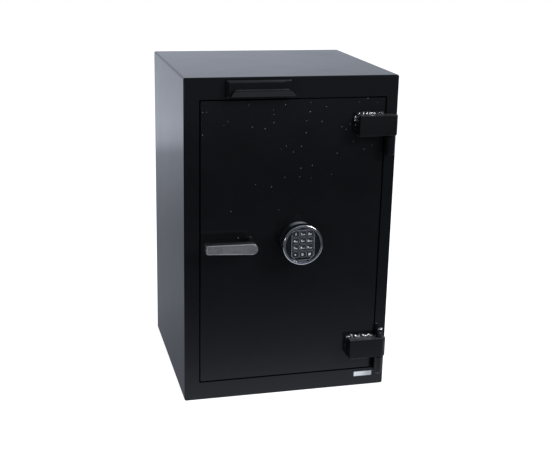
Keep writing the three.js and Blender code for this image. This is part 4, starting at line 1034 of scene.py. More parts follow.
class Repeats:
    """Geometry node trees: a weld run along a path, and screw heads on points."""

    bead_subdivisions: int = 3
    bead_length_share: float = 0.62
    bead_pitch_share: float = 0.95
    bead_unevenness: float = 0.42

    def __init__(self, palette: Palette) -> None:
        """Builds both trees.

        Args:
            palette: the finishes that the trees set.
        """
        self.palette = palette
        self.weld = self._weld_tree()
        self.screws = self._screw_tree()

    def _weld_tree(self) -> bpy.types.NodeTree:
        """Builds the weld: overlapping flat beads along an edge path.

        Returns:
            The tree.
        """
        tree, given, out = group_tree(
            "weld_run", "GeometryNodeTree",
            [("Path", "NodeSocketGeometry", None), ("Pitch", FLOAT, 0.0018),
             ("Radius", FLOAT, 0.0026), ("Unevenness", FLOAT, 0.2),
             ("Seed", "NodeSocketInt", 1), ("Finish", "NodeSocketMaterial", None)],
            [("Weld", "NodeSocketGeometry")])
        curve = tree.node("GeometryNodeMeshToCurve")
        tree.link(given.outputs["Path"], curve.inputs[0])
        even = tree.node("GeometryNodeResampleCurve", mode="LENGTH")
        tree.link(curve.outputs[0], even.inputs["Curve"])
        tree.link(given.outputs["Pitch"], even.inputs["Length"])
        bead = tree.node("GeometryNodeMeshIcoSphere")
        bead.inputs["Subdivisions"].default_value = self.bead_subdivisions
        tree.link(given.outputs["Radius"], bead.inputs["Radius"])
        turn = tree.node("FunctionNodeAlignRotationToVector", axis="X")
        tree.link(tree.node("GeometryNodeInputTangent").outputs[0], turn.inputs["Vector"])
        size = tree.node("FunctionNodeRandomValue", data_type="FLOAT_VECTOR")
        low = tree.math("SUBTRACT", 1.0, given.outputs["Unevenness"])
        high = tree.math("ADD", 1.0, given.outputs["Unevenness"])
        for bound, socket in ((low, size.inputs[0]), (high, size.inputs[1])):
            vector = tree.node("ShaderNodeCombineXYZ")
            tree.link(tree.math("MULTIPLY", bound, self.bead_length_share), vector.inputs[0])
            tree.link(bound, vector.inputs[1])
            tree.link(bound, vector.inputs[2])
            tree.link(vector.outputs[0], socket)
        tree.link(given.outputs["Seed"], size.inputs["Seed"])
        placed = tree.node("GeometryNodeInstanceOnPoints")
        tree.link(even.outputs[0], placed.inputs["Points"])
        tree.link(bead.outputs["Mesh"], placed.inputs["Instance"])
        tree.link(turn.outputs[0], placed.inputs["Rotation"])
        tree.link(size.outputs[0], placed.inputs["Scale"])
        Repeats._end(tree, placed.outputs[0], given, out)
        return tree.tree

    @staticmethod
    def _screw_tree() -> bpy.types.NodeTree:
        """Builds the screws: a head on each point, all facing one way, each turned by chance.

        Returns:
            The tree.
        """
        tree, given, out = group_tree(
            "screw_heads", "GeometryNodeTree",
            [("Points", "NodeSocketGeometry", None), ("Head", "NodeSocketObject", None),
             ("Facing", VECTOR, (0.0, 0.0, 1.0)), ("Size", FLOAT, 1.0),
             ("Seed", "NodeSocketInt", 3), ("Finish", "NodeSocketMaterial", None)],
            [("Screws", "NodeSocketGeometry")])
        points = tree.node("GeometryNodeMeshToPoints")
        tree.link(given.outputs["Points"], points.inputs[0])
        head = tree.node("GeometryNodeObjectInfo")
        tree.link(given.outputs["Head"], head.inputs["Object"])
        facing = tree.node("FunctionNodeAlignRotationToVector", axis="Z")
        tree.link(given.outputs["Facing"], facing.inputs["Vector"])
        chance = tree.node("FunctionNodeRandomValue", data_type="FLOAT")
        chance.inputs[3].default_value = 2 * math.pi
        tree.link(given.outputs["Seed"], chance.inputs["Seed"])
        spin = tree.node("FunctionNodeAxisAngleToRotation")
        spin.inputs["Axis"].default_value = (0.0, 0.0, 1.0)
        tree.link(chance.outputs[1], spin.inputs["Angle"])
        both = tree.node("FunctionNodeRotateRotation", rotation_space="LOCAL")
        tree.link(facing.outputs[0], both.inputs[0])
        tree.link(spin.outputs[0], both.inputs[1])
        placed = tree.node("GeometryNodeInstanceOnPoints")
        tree.link(points.outputs[0], placed.inputs["Points"])
        tree.link(head.outputs["Geometry"], placed.inputs["Instance"])
        tree.link(both.outputs[0], placed.inputs["Rotation"])
        tree.link(given.outputs["Size"], placed.inputs["Scale"])
        Repeats._end(tree, placed.outputs[0], given, out)
        return tree.tree

    @staticmethod
    def _end(tree: Tree, made: bpy.types.NodeSocket, given: bpy.types.Node,
             out: bpy.types.Node) -> None:
        """Closes a tree: real geometry with its finish set.

        Args:
            tree: the tree.
            made: the instances.
            given: the tree's input node.
            out: the tree's output node.
        """
        real = tree.node("GeometryNodeRealizeInstances")
        tree.link(made, real.inputs[0])
        finish = tree.node("GeometryNodeSetMaterial")
        tree.link(real.outputs[0], finish.inputs["Geometry"])
        tree.link(given.outputs["Finish"], finish.inputs["Material"])
        tree.link(finish.outputs[0], out.inputs[0])

    @staticmethod
    def _run(tree: bpy.types.NodeTree, points: Sequence[Point],
             edges: Sequence[tuple[int, int]], values: dict[str, object]) -> bpy.types.Mesh:
        """Runs a tree on points and edges.

        Args:
            tree: the tree.
            points: the points' places.
            edges: pairs of point numbers.
            values: inputs by name.

        Returns:
            The plain mesh that it makes.
        """
        seed = bpy.data.meshes.new("places")
        seed.from_pydata(points, edges, [])

        def add(carrier: bpy.types.Object) -> None:
            """Adds the tree as a modifier, with its inputs set by identifier."""
            modifier = carrier.modifiers.new("repeat", "NODES")
            modifier.node_group = tree
            for item in tree.interface.items_tree:
                if item.in_out == "INPUT" and item.name in values:
                    modifier[item.identifier] = values[item.name]

        return modified(seed, add)

    def weld_runs(self, paths: Sequence[Sequence[Point]], radius: float, seed: int,
                  finish: str) -> bpy.types.Mesh:
        """Lays weld beads along paths.

        Args:
            paths: each a list of points.
            radius: the bead's radius.
            seed: the seed of its unevenness.
            finish: the palette entry.

        Returns:
            The mesh of all beads.
        """
        points: list[Point] = []
        edges: list[tuple[int, int]] = []
        for path in paths:
            start = len(points)
            points.extend(path)
            edges.extend((start + i, start + i + 1) for i in range(len(path) - 1))
        return self._run(self.weld, points, edges, {
            "Pitch": radius * self.bead_pitch_share, "Radius": radius,
            "Unevenness": self.bead_unevenness, "Seed": seed, "Finish": self.palette[finish]})

    def screw_set(self, places: Sequence[Point], facing: Point, head: "ScrewHead",
                  finish: str, seed: int) -> bpy.types.Mesh:
        """Sets screw heads on points.

        Args:
            places: where each head sits.
            facing: the way that the heads face.
            head: the head's sizes.
            finish: the palette entry.
            seed: the seed of how each is turned.

        Returns:
            The mesh of all heads.
        """
        pattern = bpy.data.objects.new("head", head.mesh())
        bpy.context.scene.collection.objects.link(pattern)
        mesh = self._run(self.screws, places, [], {
            "Head": pattern, "Facing": facing, "Size": 1.0, "Seed": seed,
            "Finish": self.palette[finish]})
        bpy.data.objects.remove(pattern)
        return mesh


@dataclass
class ScrewHead:
    """A button head with a hexagon socket."""

    radius: float = 0.0042
    height: float = 0.0024
    socket: float = 0.0021
    depth: float = 0.0013
    flank_height_share: float = 0.35
    shoulder_share: float = 0.93
    shoulder_height_share: float = 0.7
    crown_share: float = 0.74
    sides: int = 24

    def _ring(self, shape: bmesh.types.BMesh, radius: float, z: float,
              hexagon: bool = False) -> list[bmesh.types.BMVert]:
        """Adds a ring of points.

        Args:
            shape: the bmesh that takes them.
            radius: the circle's radius, or half the hexagon's width across flats.
            z: its height.
            hexagon: whether it follows a hexagon.

        Returns:
            The points.
        """
        made = []
        for i in range(self.sides):
            angle = 2 * math.pi * i / self.sides
            wedge = (angle % (math.pi / 3)) - math.pi / 6
            reach = radius / math.cos(wedge) if hexagon else radius
            made.append(shape.verts.new((reach * math.cos(angle), reach * math.sin(angle), z)))
        return made

    def mesh(self) -> bpy.types.Mesh:
        """Makes the head, standing on its seat and facing +Z.

        Returns:
            Its mesh.
        """
        shape = bmesh.new()
        rows = [self._ring(shape, self.radius, 0.0),
                self._ring(shape, self.radius, self.height * self.flank_height_share),
                self._ring(shape, self.radius * self.shoulder_share,
                           self.height * self.shoulder_height_share),
                self._ring(shape, self.radius * self.crown_share, self.height),
                self._ring(shape, self.socket, self.height, hexagon=True),
                self._ring(shape, self.socket, self.height - self.depth, hexagon=True)]
        skin_rows(shape, rows)
        shape.faces.new(rows[-1])
        shape.faces.new(rows[0][::-1])
        bmesh.ops.recalc_face_normals(shape, faces=shape.faces)
        return as_mesh(shape)


# Sub-assemblies


@dataclass
class Cabinet:
    """The cabinet: one smooth shell over the folded walls and the front frame."""

    shop: Workshop
    wall: float = 0.006
    corner: float = 0.0036
    front_edge: float = 0.0022
    opening_corner: float = 0.0016
    label_width: float = 0.0385
    label_height: float = 0.0100
    label_right: float = 0.0254
    label_bottom: float = 0.0208
    label_thickness: float = 0.0003
    label_corner: float = 0.0008
    label_edge: float = 0.0001
    door_gap: float = 0.0025
    drawer_side_gap: float = 0.0015
    drawer_floor_gap: float = 0.0012
    drawer_lap: float = 0.004
    anchor_radius: float = 0.0065
    anchor_inset: Pair = (0.080, 0.085)

    def build(self) -> None:
        """Makes the shell, the label and the dressed inner pieces."""
        self._shell()
        self._label()
        for node in ("upper_door_stop", "lower_door_stop", "drawer_tunnel"):
            self.shop.dress(node, "grey_paint")
        for node in ("anti_fish_comb", "flap_rod", "one_way_flap"):
            self.shop.dress(node, "zinc_steel")
        self.shop.dress("back_panel", "black_paint")

    def _tools(self) -> list[bpy.types.Object]:
        """Makes the blocks that hollow the shell and cut its openings.

        Returns:
            The cutting objects.
        """
        low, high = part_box("body_wrap")
        door_low, door_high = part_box("door_plate")
        tray_low, tray_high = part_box("drawer_tray")
        drawer_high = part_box("drawer_front")[1]
        front = low.y
        shapes = [
            prism(low.x + self.wall, high.x - self.wall, front + self.wall, high.y + self.wall,
                  low.z + self.wall, high.z - self.wall),
            slab(rounded_outline(door_low.x - self.door_gap, door_high.x + self.door_gap,
                                 door_low.z - self.door_gap, door_high.z + self.door_gap,
                                 self.opening_corner), front - self.wall, front + 2 * self.wall),
            slab(rounded_outline(tray_low.x - self.drawer_side_gap,
                                 tray_high.x + self.drawer_side_gap,
                                 tray_low.z - self.drawer_floor_gap,
                                 drawer_high.z - self.drawer_lap, self.opening_corner),
                 front - self.wall, front + 2 * self.wall),
        ]
        for side in (-1, 1):
            for end in (-1, 1):
                centre = (side * (high.x - self.anchor_inset[0]),
                          end * (high.y - self.anchor_inset[1]))
                shapes.append(upright_cylinder(centre, self.anchor_radius, low.z - self.wall,
                                               low.z + 2 * self.wall))
        tools = []
        for shape in shapes:
            tool = bpy.data.objects.new("tool", as_mesh(shape))
            bpy.context.scene.collection.objects.link(tool)
            tools.append(tool)
        return tools

    def _shell(self) -> None:
        """Makes the shell: a rounded block with a softened front edge, hollowed and cut."""
        low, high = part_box("body_wrap")
        outline = rounded_outline(low.x, high.x, low.z, high.z, self.corner, steps=8)
        block = slab(outline, low.y, high.y, self.front_edge, edge_steps=4)
        tools = self._tools()
        mesh = modified(as_mesh(block), lambda carrier: cut_with(carrier, tools))
        for tool in tools:
            bpy.data.objects.remove(tool)
        self.shop.piece("cabinet_shell", mesh, "black_paint", "cabinet", "black_paint",
                        ("body_wrap", "front_frame"))

    def _label(self) -> None:
        """Makes the bare label at the lower right of the front."""
        low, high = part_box("body_wrap")
        right = high.x - self.label_right
        bottom = low.z + self.label_bottom
        outline = rounded_outline(right - self.label_width, right, bottom,
                                  bottom + self.label_height, self.label_corner)
        mesh = as_mesh(slab(outline, low.y - self.label_thickness, low.y, self.label_edge,
                            edge_steps=1))
        self.shop.piece("bare_label", mesh, "label_card", "cabinet", "black_paint")


@dataclass
class Hinges:
    """The two barrel hinges with their pins, washers and welds."""

    shop: Workshop
    repeats: Repeats
    names: tuple[str, ...] = ("upper", "lower")
    # The lower hinge's leaf gets more dust, which also paints a lighter sheen on its top, and
    # heavier welds.
    more_dust_and_sheen: str = "lower"
    edge: float = 0.0009
    pin_edge_share: float = 0.3
    washer_edge_share: float = 0.2
    first_seed: int = 4
    foot_seed_step: int = 7
    weld_radius: float = 0.0031
    heavy_weld: float = 1.5
    weld_lift: float = 0.0010
    weld_share: float = 0.94
    weld_end: float = 0.002
    side_bottom: float = 0.012
    side_top: float = 0.004
    under_start: float = 0.004
    foot_inset: float = 0.0008
    foot_end: float = 0.003
    foot_weld_share: float = 0.75

    def build(self) -> None:
        """Makes every hinge and its weld runs."""
        for seed, name in enumerate(self.names, start=self.first_seed):
            soft = self.shop.soften
            ledge = "ledge_paint" if name == self.more_dust_and_sheen else "clean_ledge_paint"
            soft(f"{name}_hinge_leaf", ledge, "door", "black_paint", self.edge)
            soft(f"{name}_hinge_knuckle", "black_paint", "cabinet", "black_paint", self.edge)
            soft(f"{name}_hinge_pin", "pin_paint", "cabinet", "black_paint",
                 self.edge * self.pin_edge_share)
            soft(f"{name}_thrust_washer", "black_paint", "cabinet", "black_paint",
                 self.edge * self.washer_edge_share)
            self._welds(name, seed)

    def _welds(self, name: str, seed: int) -> None:
        """Lays the welds round a leaf on the door and round a knuckle's foot on the frame.

        Args:
            name: which hinge.
            seed: the seed of its unevenness.
        """
        low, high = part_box(f"{name}_hinge_leaf")
        door_low, door_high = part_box("door_plate")
        face = door_low.y - self.weld_lift
        end = door_high.x - self.weld_end
        top = high.z + self.weld_lift
        bottom = low.z - self.weld_lift
        side = low.x - self.weld_lift
        run_end = side + (end - side) * self.weld_share
        paths = [
            [(side, face, top), (run_end, face, top)],
            [(side, face, low.z + self.side_bottom), (side, face, high.z - self.side_top)],
            [(side + self.under_start, face, bottom), (end, face, bottom)],
        ]
        more_dust_and_sheen = name == self.more_dust_and_sheen
        side_finish = "black_paint" if more_dust_and_sheen else "side_weld"
        top_radius = self.weld_radius * (self.heavy_weld if more_dust_and_sheen else 1.0)
        for part, finish, runs, radius in (
                ("top", "weld_bead", paths[:1], top_radius),
                ("side", side_finish, paths[1:], self.weld_radius)):
            mesh = self.repeats.weld_runs(runs, radius, seed, finish)
            self.shop.piece(f"{name}_leaf_{part}_weld", mesh, finish, "door", "black_paint")
        foot_low, foot_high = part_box(f"{name}_hinge_knuckle")
        edge = foot_high.x - self.foot_inset
        foot = [[(edge, face, foot_low.z + self.foot_end),
                 (edge, face, foot_high.z - self.foot_end)]]
        mesh = self.repeats.weld_runs(foot, self.weld_radius * self.foot_weld_share,
                                      seed + self.foot_seed_step, "side_weld")
        self.shop.piece(f"{name}_knuckle_weld", mesh, "side_weld", "cabinet", "black_paint")


@dataclass
class Door:
    """The door plate with the works behind it."""

    shop: Workshop
    repeats: Repeats
    edge: float = 0.0009
    case_edge: float = 0.0008
    works_edge: float = 0.0006
    shaft_edge: float = 0.0004
    head: ScrewHead = field(default_factory=ScrewHead)
    screw_seed: int = 5
    corner_inset: float = 0.007
    angle_screws: int = 6
    angle_seat: float = 0.006
    guide_seat: float = 0.005
    side_inset: float = 0.010

    def build(self) -> None:
        """Makes the plate and dresses the pieces behind it."""
        soft = self.shop.soften
        soft("door_plate", "door_paint", "door", "black_paint", self.edge)
        for node in ("dead_bar", "bolt_angle", "upper_tail_guide", "lower_tail_guide"):
            soft(node, "grey_paint", "door", "grey_paint", self.works_edge, segments=2)
        soft("lock_case", "cast_zinc", "door", "cast_zinc", self.case_edge)
        soft("lock_bolt", "bronze", "lock_bolt", "bronze", self.works_edge)
        for node in ("upper_bolt", "middle_bolt", "lower_bolt", "bolt_carrier", "yoke_plate"):
            soft(node, "zinc_steel", "boltwork", "zinc_steel", self.works_edge, segments=2)
        for node in ("handle_cam", "drive_pin", "handle_spindle"):
            soft(node, "zinc_steel", "handle", "zinc_steel", self.shaft_edge, segments=2)
        self.shop.dress("hard_plate", "zinc_steel")
        self.shop.dress("spindle_bush", "bronze")
        self._screws()

    def _screws(self) -> None:
        """Sets the screws of the lock case, the bolt angle and the tail guides."""
        places: list[Point] = []
        low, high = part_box("lock_case")
        inset = self.corner_inset
        for x in (low.x + inset, high.x - inset):
            for z in (low.z + inset, high.z - inset):
                places.append((x, high.y, z))
        low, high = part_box("bolt_angle")
        for i in range(self.angle_screws):
            z = low.z + (high.z - low.z) * (i + 0.5) / self.angle_screws
            places.append((high.x - self.side_inset, low.y + self.angle_seat, z))
        for node in ("upper_tail_guide", "lower_tail_guide"):
            low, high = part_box(node)
            for z in (low.z + inset, high.z - inset):
                places.append((high.x - self.side_inset, low.y + self.guide_seat, z))
        mesh = self.repeats.screw_set(places, (0.0, 1.0, 0.0), self.head, "zinc_steel",
                                      self.screw_seed)
        self.shop.piece("door_screws", mesh, "zinc_steel", "door", "zinc_steel")


@dataclass
class Lever:
    """The lever handle and the collar on the door round its neck."""

    shop: Workshop
    edge: float = 0.0017
    collar_edge_share: float = 0.4

    def build(self) -> None:
        """Makes the lever and its collar."""
        soft = self.shop.soften
        soft("handle_lever", "satin_steel", "handle", "satin_steel", self.edge, segments=4)
        soft("handle_collar", "black_paint", "door", "black_paint",
             self.edge * self.collar_edge_share)


@dataclass
class Keypad:
    """The round keypad: flared cup, bright ring, face with a raised field, keys and legends."""

    shop: Workshop
    centre: Point = field(init=False)
    cup_foot_inset: float = 0.002
    cup_foot_edge: float = 0.0008
    cup_flare_share: float = 0.45
    cup_flare_height_share: float = 0.6
    cup_rim_edge: float = 0.0009
    cup_wall: float = 0.004
    cup_floor: float = 0.003
    ring_grow: float = 0.0007
    ring_lip: float = 0.0052
    ring_wall: float = 0.0030
    ring_step: float = 0.0021
    ring_crown: float = 0.0026
    ring_fall: float = 0.0020
    ring_edge: float = 0.0005
    ring_steps: int = 10
    ring_sides: int = 128
    face_edge: float = 0.0003
    field_half_x: float = 0.0230
    field_half_z: float = 0.0305
    field_cut: float = 0.009
    field_rise: float = 0.0012
    line_width: float = 0.0006
    line_edge: float = 0.0001
    line_shoulder: float = 0.0002
    line_rise: float = 0.0004
    seat_depth: float = 0.0002
    key_half_x: float = 0.0060
    key_half_z: float = 0.0054
    key_corner: float = 0.0021
    key_edge: float = 0.0009
    key_stem: float = 0.004
    rim_gap: float = 0.0005
    rim_width: float = 0.0005
    rim_rise: float = 0.0002
    legend_size: float = 0.0060
    letter_size: float = 0.0027
    letter_gap: float = 0.0004
    legend_shift: float = -0.0010
    alone_scale: float = 1.2
    legend_rise: float = 0.00012
    legend_weight: float = 0.018
    legend_steps: int = 3
    tab_top: float = 0.0285
    tab_bottom: float = 0.0350
    tab_half_top: float = 0.0098
    tab_half_bottom: float = 0.0070
    tab_edge: float = 0.0004
    legends: dict[str, tuple[str, str]] = field(default_factory=lambda: {
        "1": ("1", ""), "2": ("2", "ABC"), "3": ("3", "DEF"), "4": ("4", "GHI"),
        "5": ("5", "JKL"), "6": ("6", "MNO"), "7": ("7", "PRS"), "8": ("8", "TUV"),
        "9": ("9", "WXY"), "star": ("*", ""), "0": ("0", ""), "hash": ("#", "")})

    def build(self) -> None:
        """Makes the whole keypad."""
        low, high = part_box("keypad_bezel")
        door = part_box("door_plate")[0].y
        self.centre = ((low.x + high.x) / 2, door, (low.z + high.z) / 2)
        self._cup()
        self._ring(low, high)
        self._face()
        self._keys()
        self._tab()
        self.shop.dress("keypad_board", "circuit_board")
        self.shop.dress("keypad_battery", "battery_case")
        self.shop.dress("keypad_cable", "cable_sheath")

    def _out(self, y: float) -> float:
        """Turns a y into a distance out of the door."""
        return self.centre[1] - y

    def _cup(self) -> None:
        """Makes the flared cup, open in front, with rounded edges."""
        low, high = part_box("keypad_housing")
        rim = (high.x - low.x) / 2
        foot = rim - self.cup_foot_inset
        base, front = self._out(high.y), self._out(low.y)
        bore, floor = rim - self.cup_wall, base + self.cup_floor
        edge = self.cup_rim_edge
        profile = [(0.0, base), (foot - self.cup_foot_edge, base),
                   (foot, base + self.cup_foot_edge),
                   (foot + (rim - foot) * self.cup_flare_share,
                    base + (front - base) * self.cup_flare_height_share),
                   *arc(rim - edge, front - edge, edge, 0, 90, steps=4),
                   (bore, front), (bore, floor), (0.0, floor)]
        mesh = as_mesh(turned(profile, self.centre))
        # The cup's dust paints a lit sheen on the top of its flank.
        self.shop.piece("keypad_cup", mesh, "cup_metal", "door", "black_plastic",
                        ("keypad_housing",))

    def _ring(self, low: Vector, high: Vector) -> None:
        """Makes the bright ring.

        Args:
            low: the ring's lowest corner.
            high: its highest corner.
        """
        outer = (high.x - low.x) / 2 + self.ring_grow
        back, front = self._out(high.y), self._out(low.y)
        edge, crown, fall = self.ring_edge, self.ring_crown, self.ring_fall
        bore = outer - self.ring_wall
        lip = outer - self.ring_lip
        sweep = [math.radians(90 * step / self.ring_steps)
                 for step in range(self.ring_steps + 1)]
        slope = [(outer - crown + crown * math.cos(a), front - fall + fall * math.sin(a))
                 for a in sweep]
        profile = [(bore, back), (outer - edge, back),
                   *arc(outer - edge, back + edge, edge, -60, 0, steps=3), *slope,
                   *arc(lip + edge, front - edge, edge, 90, 180, steps=4),
                   (lip, front - self.ring_step), (bore, front - self.ring_step)]
        mesh = as_mesh(turned(profile, self.centre, self.ring_sides))
        self.shop.piece("keypad_ring", mesh, "chrome", "door", "chrome", ("keypad_bezel",))

    def _face(self) -> None:
        """Makes the face from its node, and the pale line round the raised field.

        The line is open at the two top corners, where the outer keys reach over it.
        """
        self.shop.soften("keypad_face", "face_plastic", "door", "black_plastic",
                         self.face_edge, segments=2)
        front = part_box("keypad_face")[0].y
        x, _, z = self.centre
        half_x, half_z, cut = self.field_half_x, self.field_half_z, self.field_cut
        corners = [(-half_x + cut, -half_z), (half_x - cut, -half_z), (half_x, -half_z + cut),
                   (half_x, half_z - cut), (half_x - cut, half_z), (-half_x + cut, half_z),
                   (-half_x, half_z - cut), (-half_x, -half_z + cut)]
        section = ((0.0, self.line_shoulder), (self.line_edge, self.line_rise),
                   (self.line_width, self.line_rise), (self.line_width, -self.seat_depth),
                   (0.0, -self.seat_depth))
        runs = {"keypad_field_line": [*corners[6:], *corners[:4]],
                "keypad_top_line": corners[4:6]}
        for name, path in runs.items():
            rings = [[(x + cx * (1 - inset / half_x), front - out, z + cz * (1 - inset / half_z))
                      for inset, out in section] for cx, cz in path]
            self.shop.piece(name, as_mesh(loft(rings)), "pale_line", "door", "black_plastic",
                            shade=Shade.FLAT)

    def _keys(self) -> None:
        """Makes each key's cap and its legend, and the pale rims round the keys' holes."""
        rims: list[Pair] = []
        for key, legend in self.legends.items():
            node = f"key_{key}"
            low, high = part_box(node)
            x, z = (low.x + high.x) / 2, (low.z + high.z) / 2
            outline = self._key_outline(x, z, 0.0)
            cap = as_mesh(slab(outline, low.y, high.y - self.key_stem, self.key_edge,
                               edge_steps=4))
            self.shop.piece(f"key_cap_{key}", cap, "key_rubber", node, "key_rubber", (node,))
            rims.append((x, z))
            self._legend(key, legend, (x + self.legend_shift, low.y, z), node)
        self._rims(rims)

    def _key_outline(self, x: float, z: float, grow: float) -> list[Pair]:
        """Gives a key's outline.

        Args:
            x: its middle across.
            z: its middle up.
            grow: how far outside the key it runs.

        Returns:
            The outline's points.
        """
        half_x, half_z = self.key_half_x + grow, self.key_half_z + grow
        return rounded_outline(x - half_x, x + half_x, z - half_z, z + half_z,
                               self.key_corner + grow, steps=5)

    def _rims(self, places: Sequence[Pair]) -> None:
        """Makes the pale rims round the keys' holes.

        Args:
            places: the middles of the keys.
        """
        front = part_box("keypad_face")[0].y
        near, far = self.rim_gap, self.rim_gap + self.rim_width
        rise, root = self.rim_rise, -self.field_rise - self.seat_depth
        shape = bmesh.new()
        for x, z in places:
            rows = [[shape.verts.new((across, front - out, up))
                     for across, up in self._key_outline(x, z, grow)]
                    for grow, out in ((far, root), (far, rise), (near, rise), (near, root))]
            skin_band(shape, rows)
        bmesh.ops.recalc_face_normals(shape, faces=shape.faces)
        self.shop.piece("key_rims", as_mesh(shape), "rim_line", "door", "black_plastic",
                        shade=Shade.FLAT)

    def _sign(self, words: str, size: float) -> bpy.types.Mesh:
        """Makes raised print lying flat, with its lower left corner at the origin.

        Args:
            words: what it says.
            size: letter size.

        Returns:
            Its mesh.
        """
        text = bpy.data.curves.new("sign", "FONT")
        text.body = words
        text.size = size
        text.extrude = self.legend_rise
        text.offset = size * self.legend_weight
        text.resolution_u = self.legend_steps
        mesh = plain_curve(text)
        left = min(v.co.x for v in mesh.vertices)
        low = min(v.co.y for v in mesh.vertices)
        mesh.transform(Matrix.Translation((-left, -low, 0.0)))
        return mesh

    def _legend(self, key: str, legend: tuple[str, str], place: Point, body: str) -> None:
        """Prints a key's figure and letters on its cap.

        Args:
            key: the key's name.
            legend: the figure, and the letters or nothing.
            place: the middle of the cap's front.
            body: the body that the key is.
        """
        figure, letters = legend
        shape = bmesh.new()
        across = 0.0
        alone = 1.0 if letters else self.alone_scale
        for words, size in ((figure, self.legend_size * alone), (letters, self.letter_size)):
            if not words:
                continue
            mesh = self._sign(words, size)
            mesh.transform(Matrix.Translation((across, 0.0, 0.0)))
            across = max(v.co.x for v in mesh.vertices) + self.letter_gap
            shape.from_mesh(mesh)
        xs = [v.co.x for v in shape.verts]
        ys = [v.co.y for v in shape.verts]
        middle = Vector(((min(xs) + max(xs)) / 2, (min(ys) + max(ys)) / 2, 0.0))
        mesh = as_mesh(shape)
        stand = Matrix.Rotation(math.pi / 2, 4, "X")
        mesh.transform(Matrix.Translation(place) @ stand @ Matrix.Translation(-middle))
        self.shop.piece(f"legend_{key}", mesh, "legend_ink", body, "key_rubber",
                        shade=Shade.FLAT)

    def _tab(self) -> None:
        """Makes the bare tab below the keys."""
        x, _, z = self.centre
        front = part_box("keypad_face")[0].y
        outline = [(x - self.tab_half_bottom, z - self.tab_bottom),
                   (x + self.tab_half_bottom, z - self.tab_bottom),
                   (x + self.tab_half_top, z - self.tab_top),
                   (x - self.tab_half_top, z - self.tab_top)]
        back = front + self.field_rise + self.seat_depth
        mesh = as_mesh(slab(outline, front, back, self.tab_edge, edge_steps=2))
        self.shop.piece("keypad_tab", mesh, "tab_metal", "door", "black_plastic")


def plain_curve(curve: bpy.types.Curve) -> bpy.types.Mesh:
    """Turns a curve into a plain mesh.

    Args:
        curve: the curve or text.

    Returns:
        Its mesh.
    """
    carrier = bpy.data.objects.new("sign", curve)
    bpy.context.scene.collection.objects.link(carrier)
    bpy.context.view_layer.update()
    shown = carrier.evaluated_get(bpy.context.evaluated_depsgraph_get())
    mesh = bpy.data.meshes.new_from_object(shown)
    bpy.data.objects.remove(carrier)
    return mesh


@dataclass
class Drawer:
    """The deposit drawer: its front, its hooded pull and its tray."""

    shop: Workshop
    front_edge: float = 0.0003
    pull_edge: float = 0.0008

    def build(self) -> None:
        """Makes the drawer's pieces."""
        soft = self.shop.soften
        soft("drawer_front", "drawer_paint", "drawer", "black_paint", self.front_edge)
        # The pull's dust also paints the highlight along its top.
        soft("drawer_pull", "clean_ledge_paint", "drawer", "black_paint", self.pull_edge)
        self.shop.dress("drawer_tray", "grey_paint")


# Studio


@dataclass(frozen=True)
class Lamp:
    """A square soft lamp: its place, aim, side and watts, and whether reflections show it."""

    name: str
    place: Point
    aim: Point
    size: float
    power: float
    shown: bool

    def hang(self) -> None:
        """Hangs the lamp."""
        data = bpy.data.lights.new(self.name, "AREA")
        data.shape = "SQUARE"
        data.size = self.size
        data.energy = self.power
        lamp = bpy.data.objects.new(self.name, data)
        lamp.visible_glossy = self.shown
        lamp.location = self.place
        lamp.rotation_mode = "QUATERNION"
        way = Vector(self.aim) - Vector(self.place)
        lamp.rotation_quaternion = way.to_track_quat("-Z", "Y")
        bpy.context.scene.collection.objects.link(lamp)


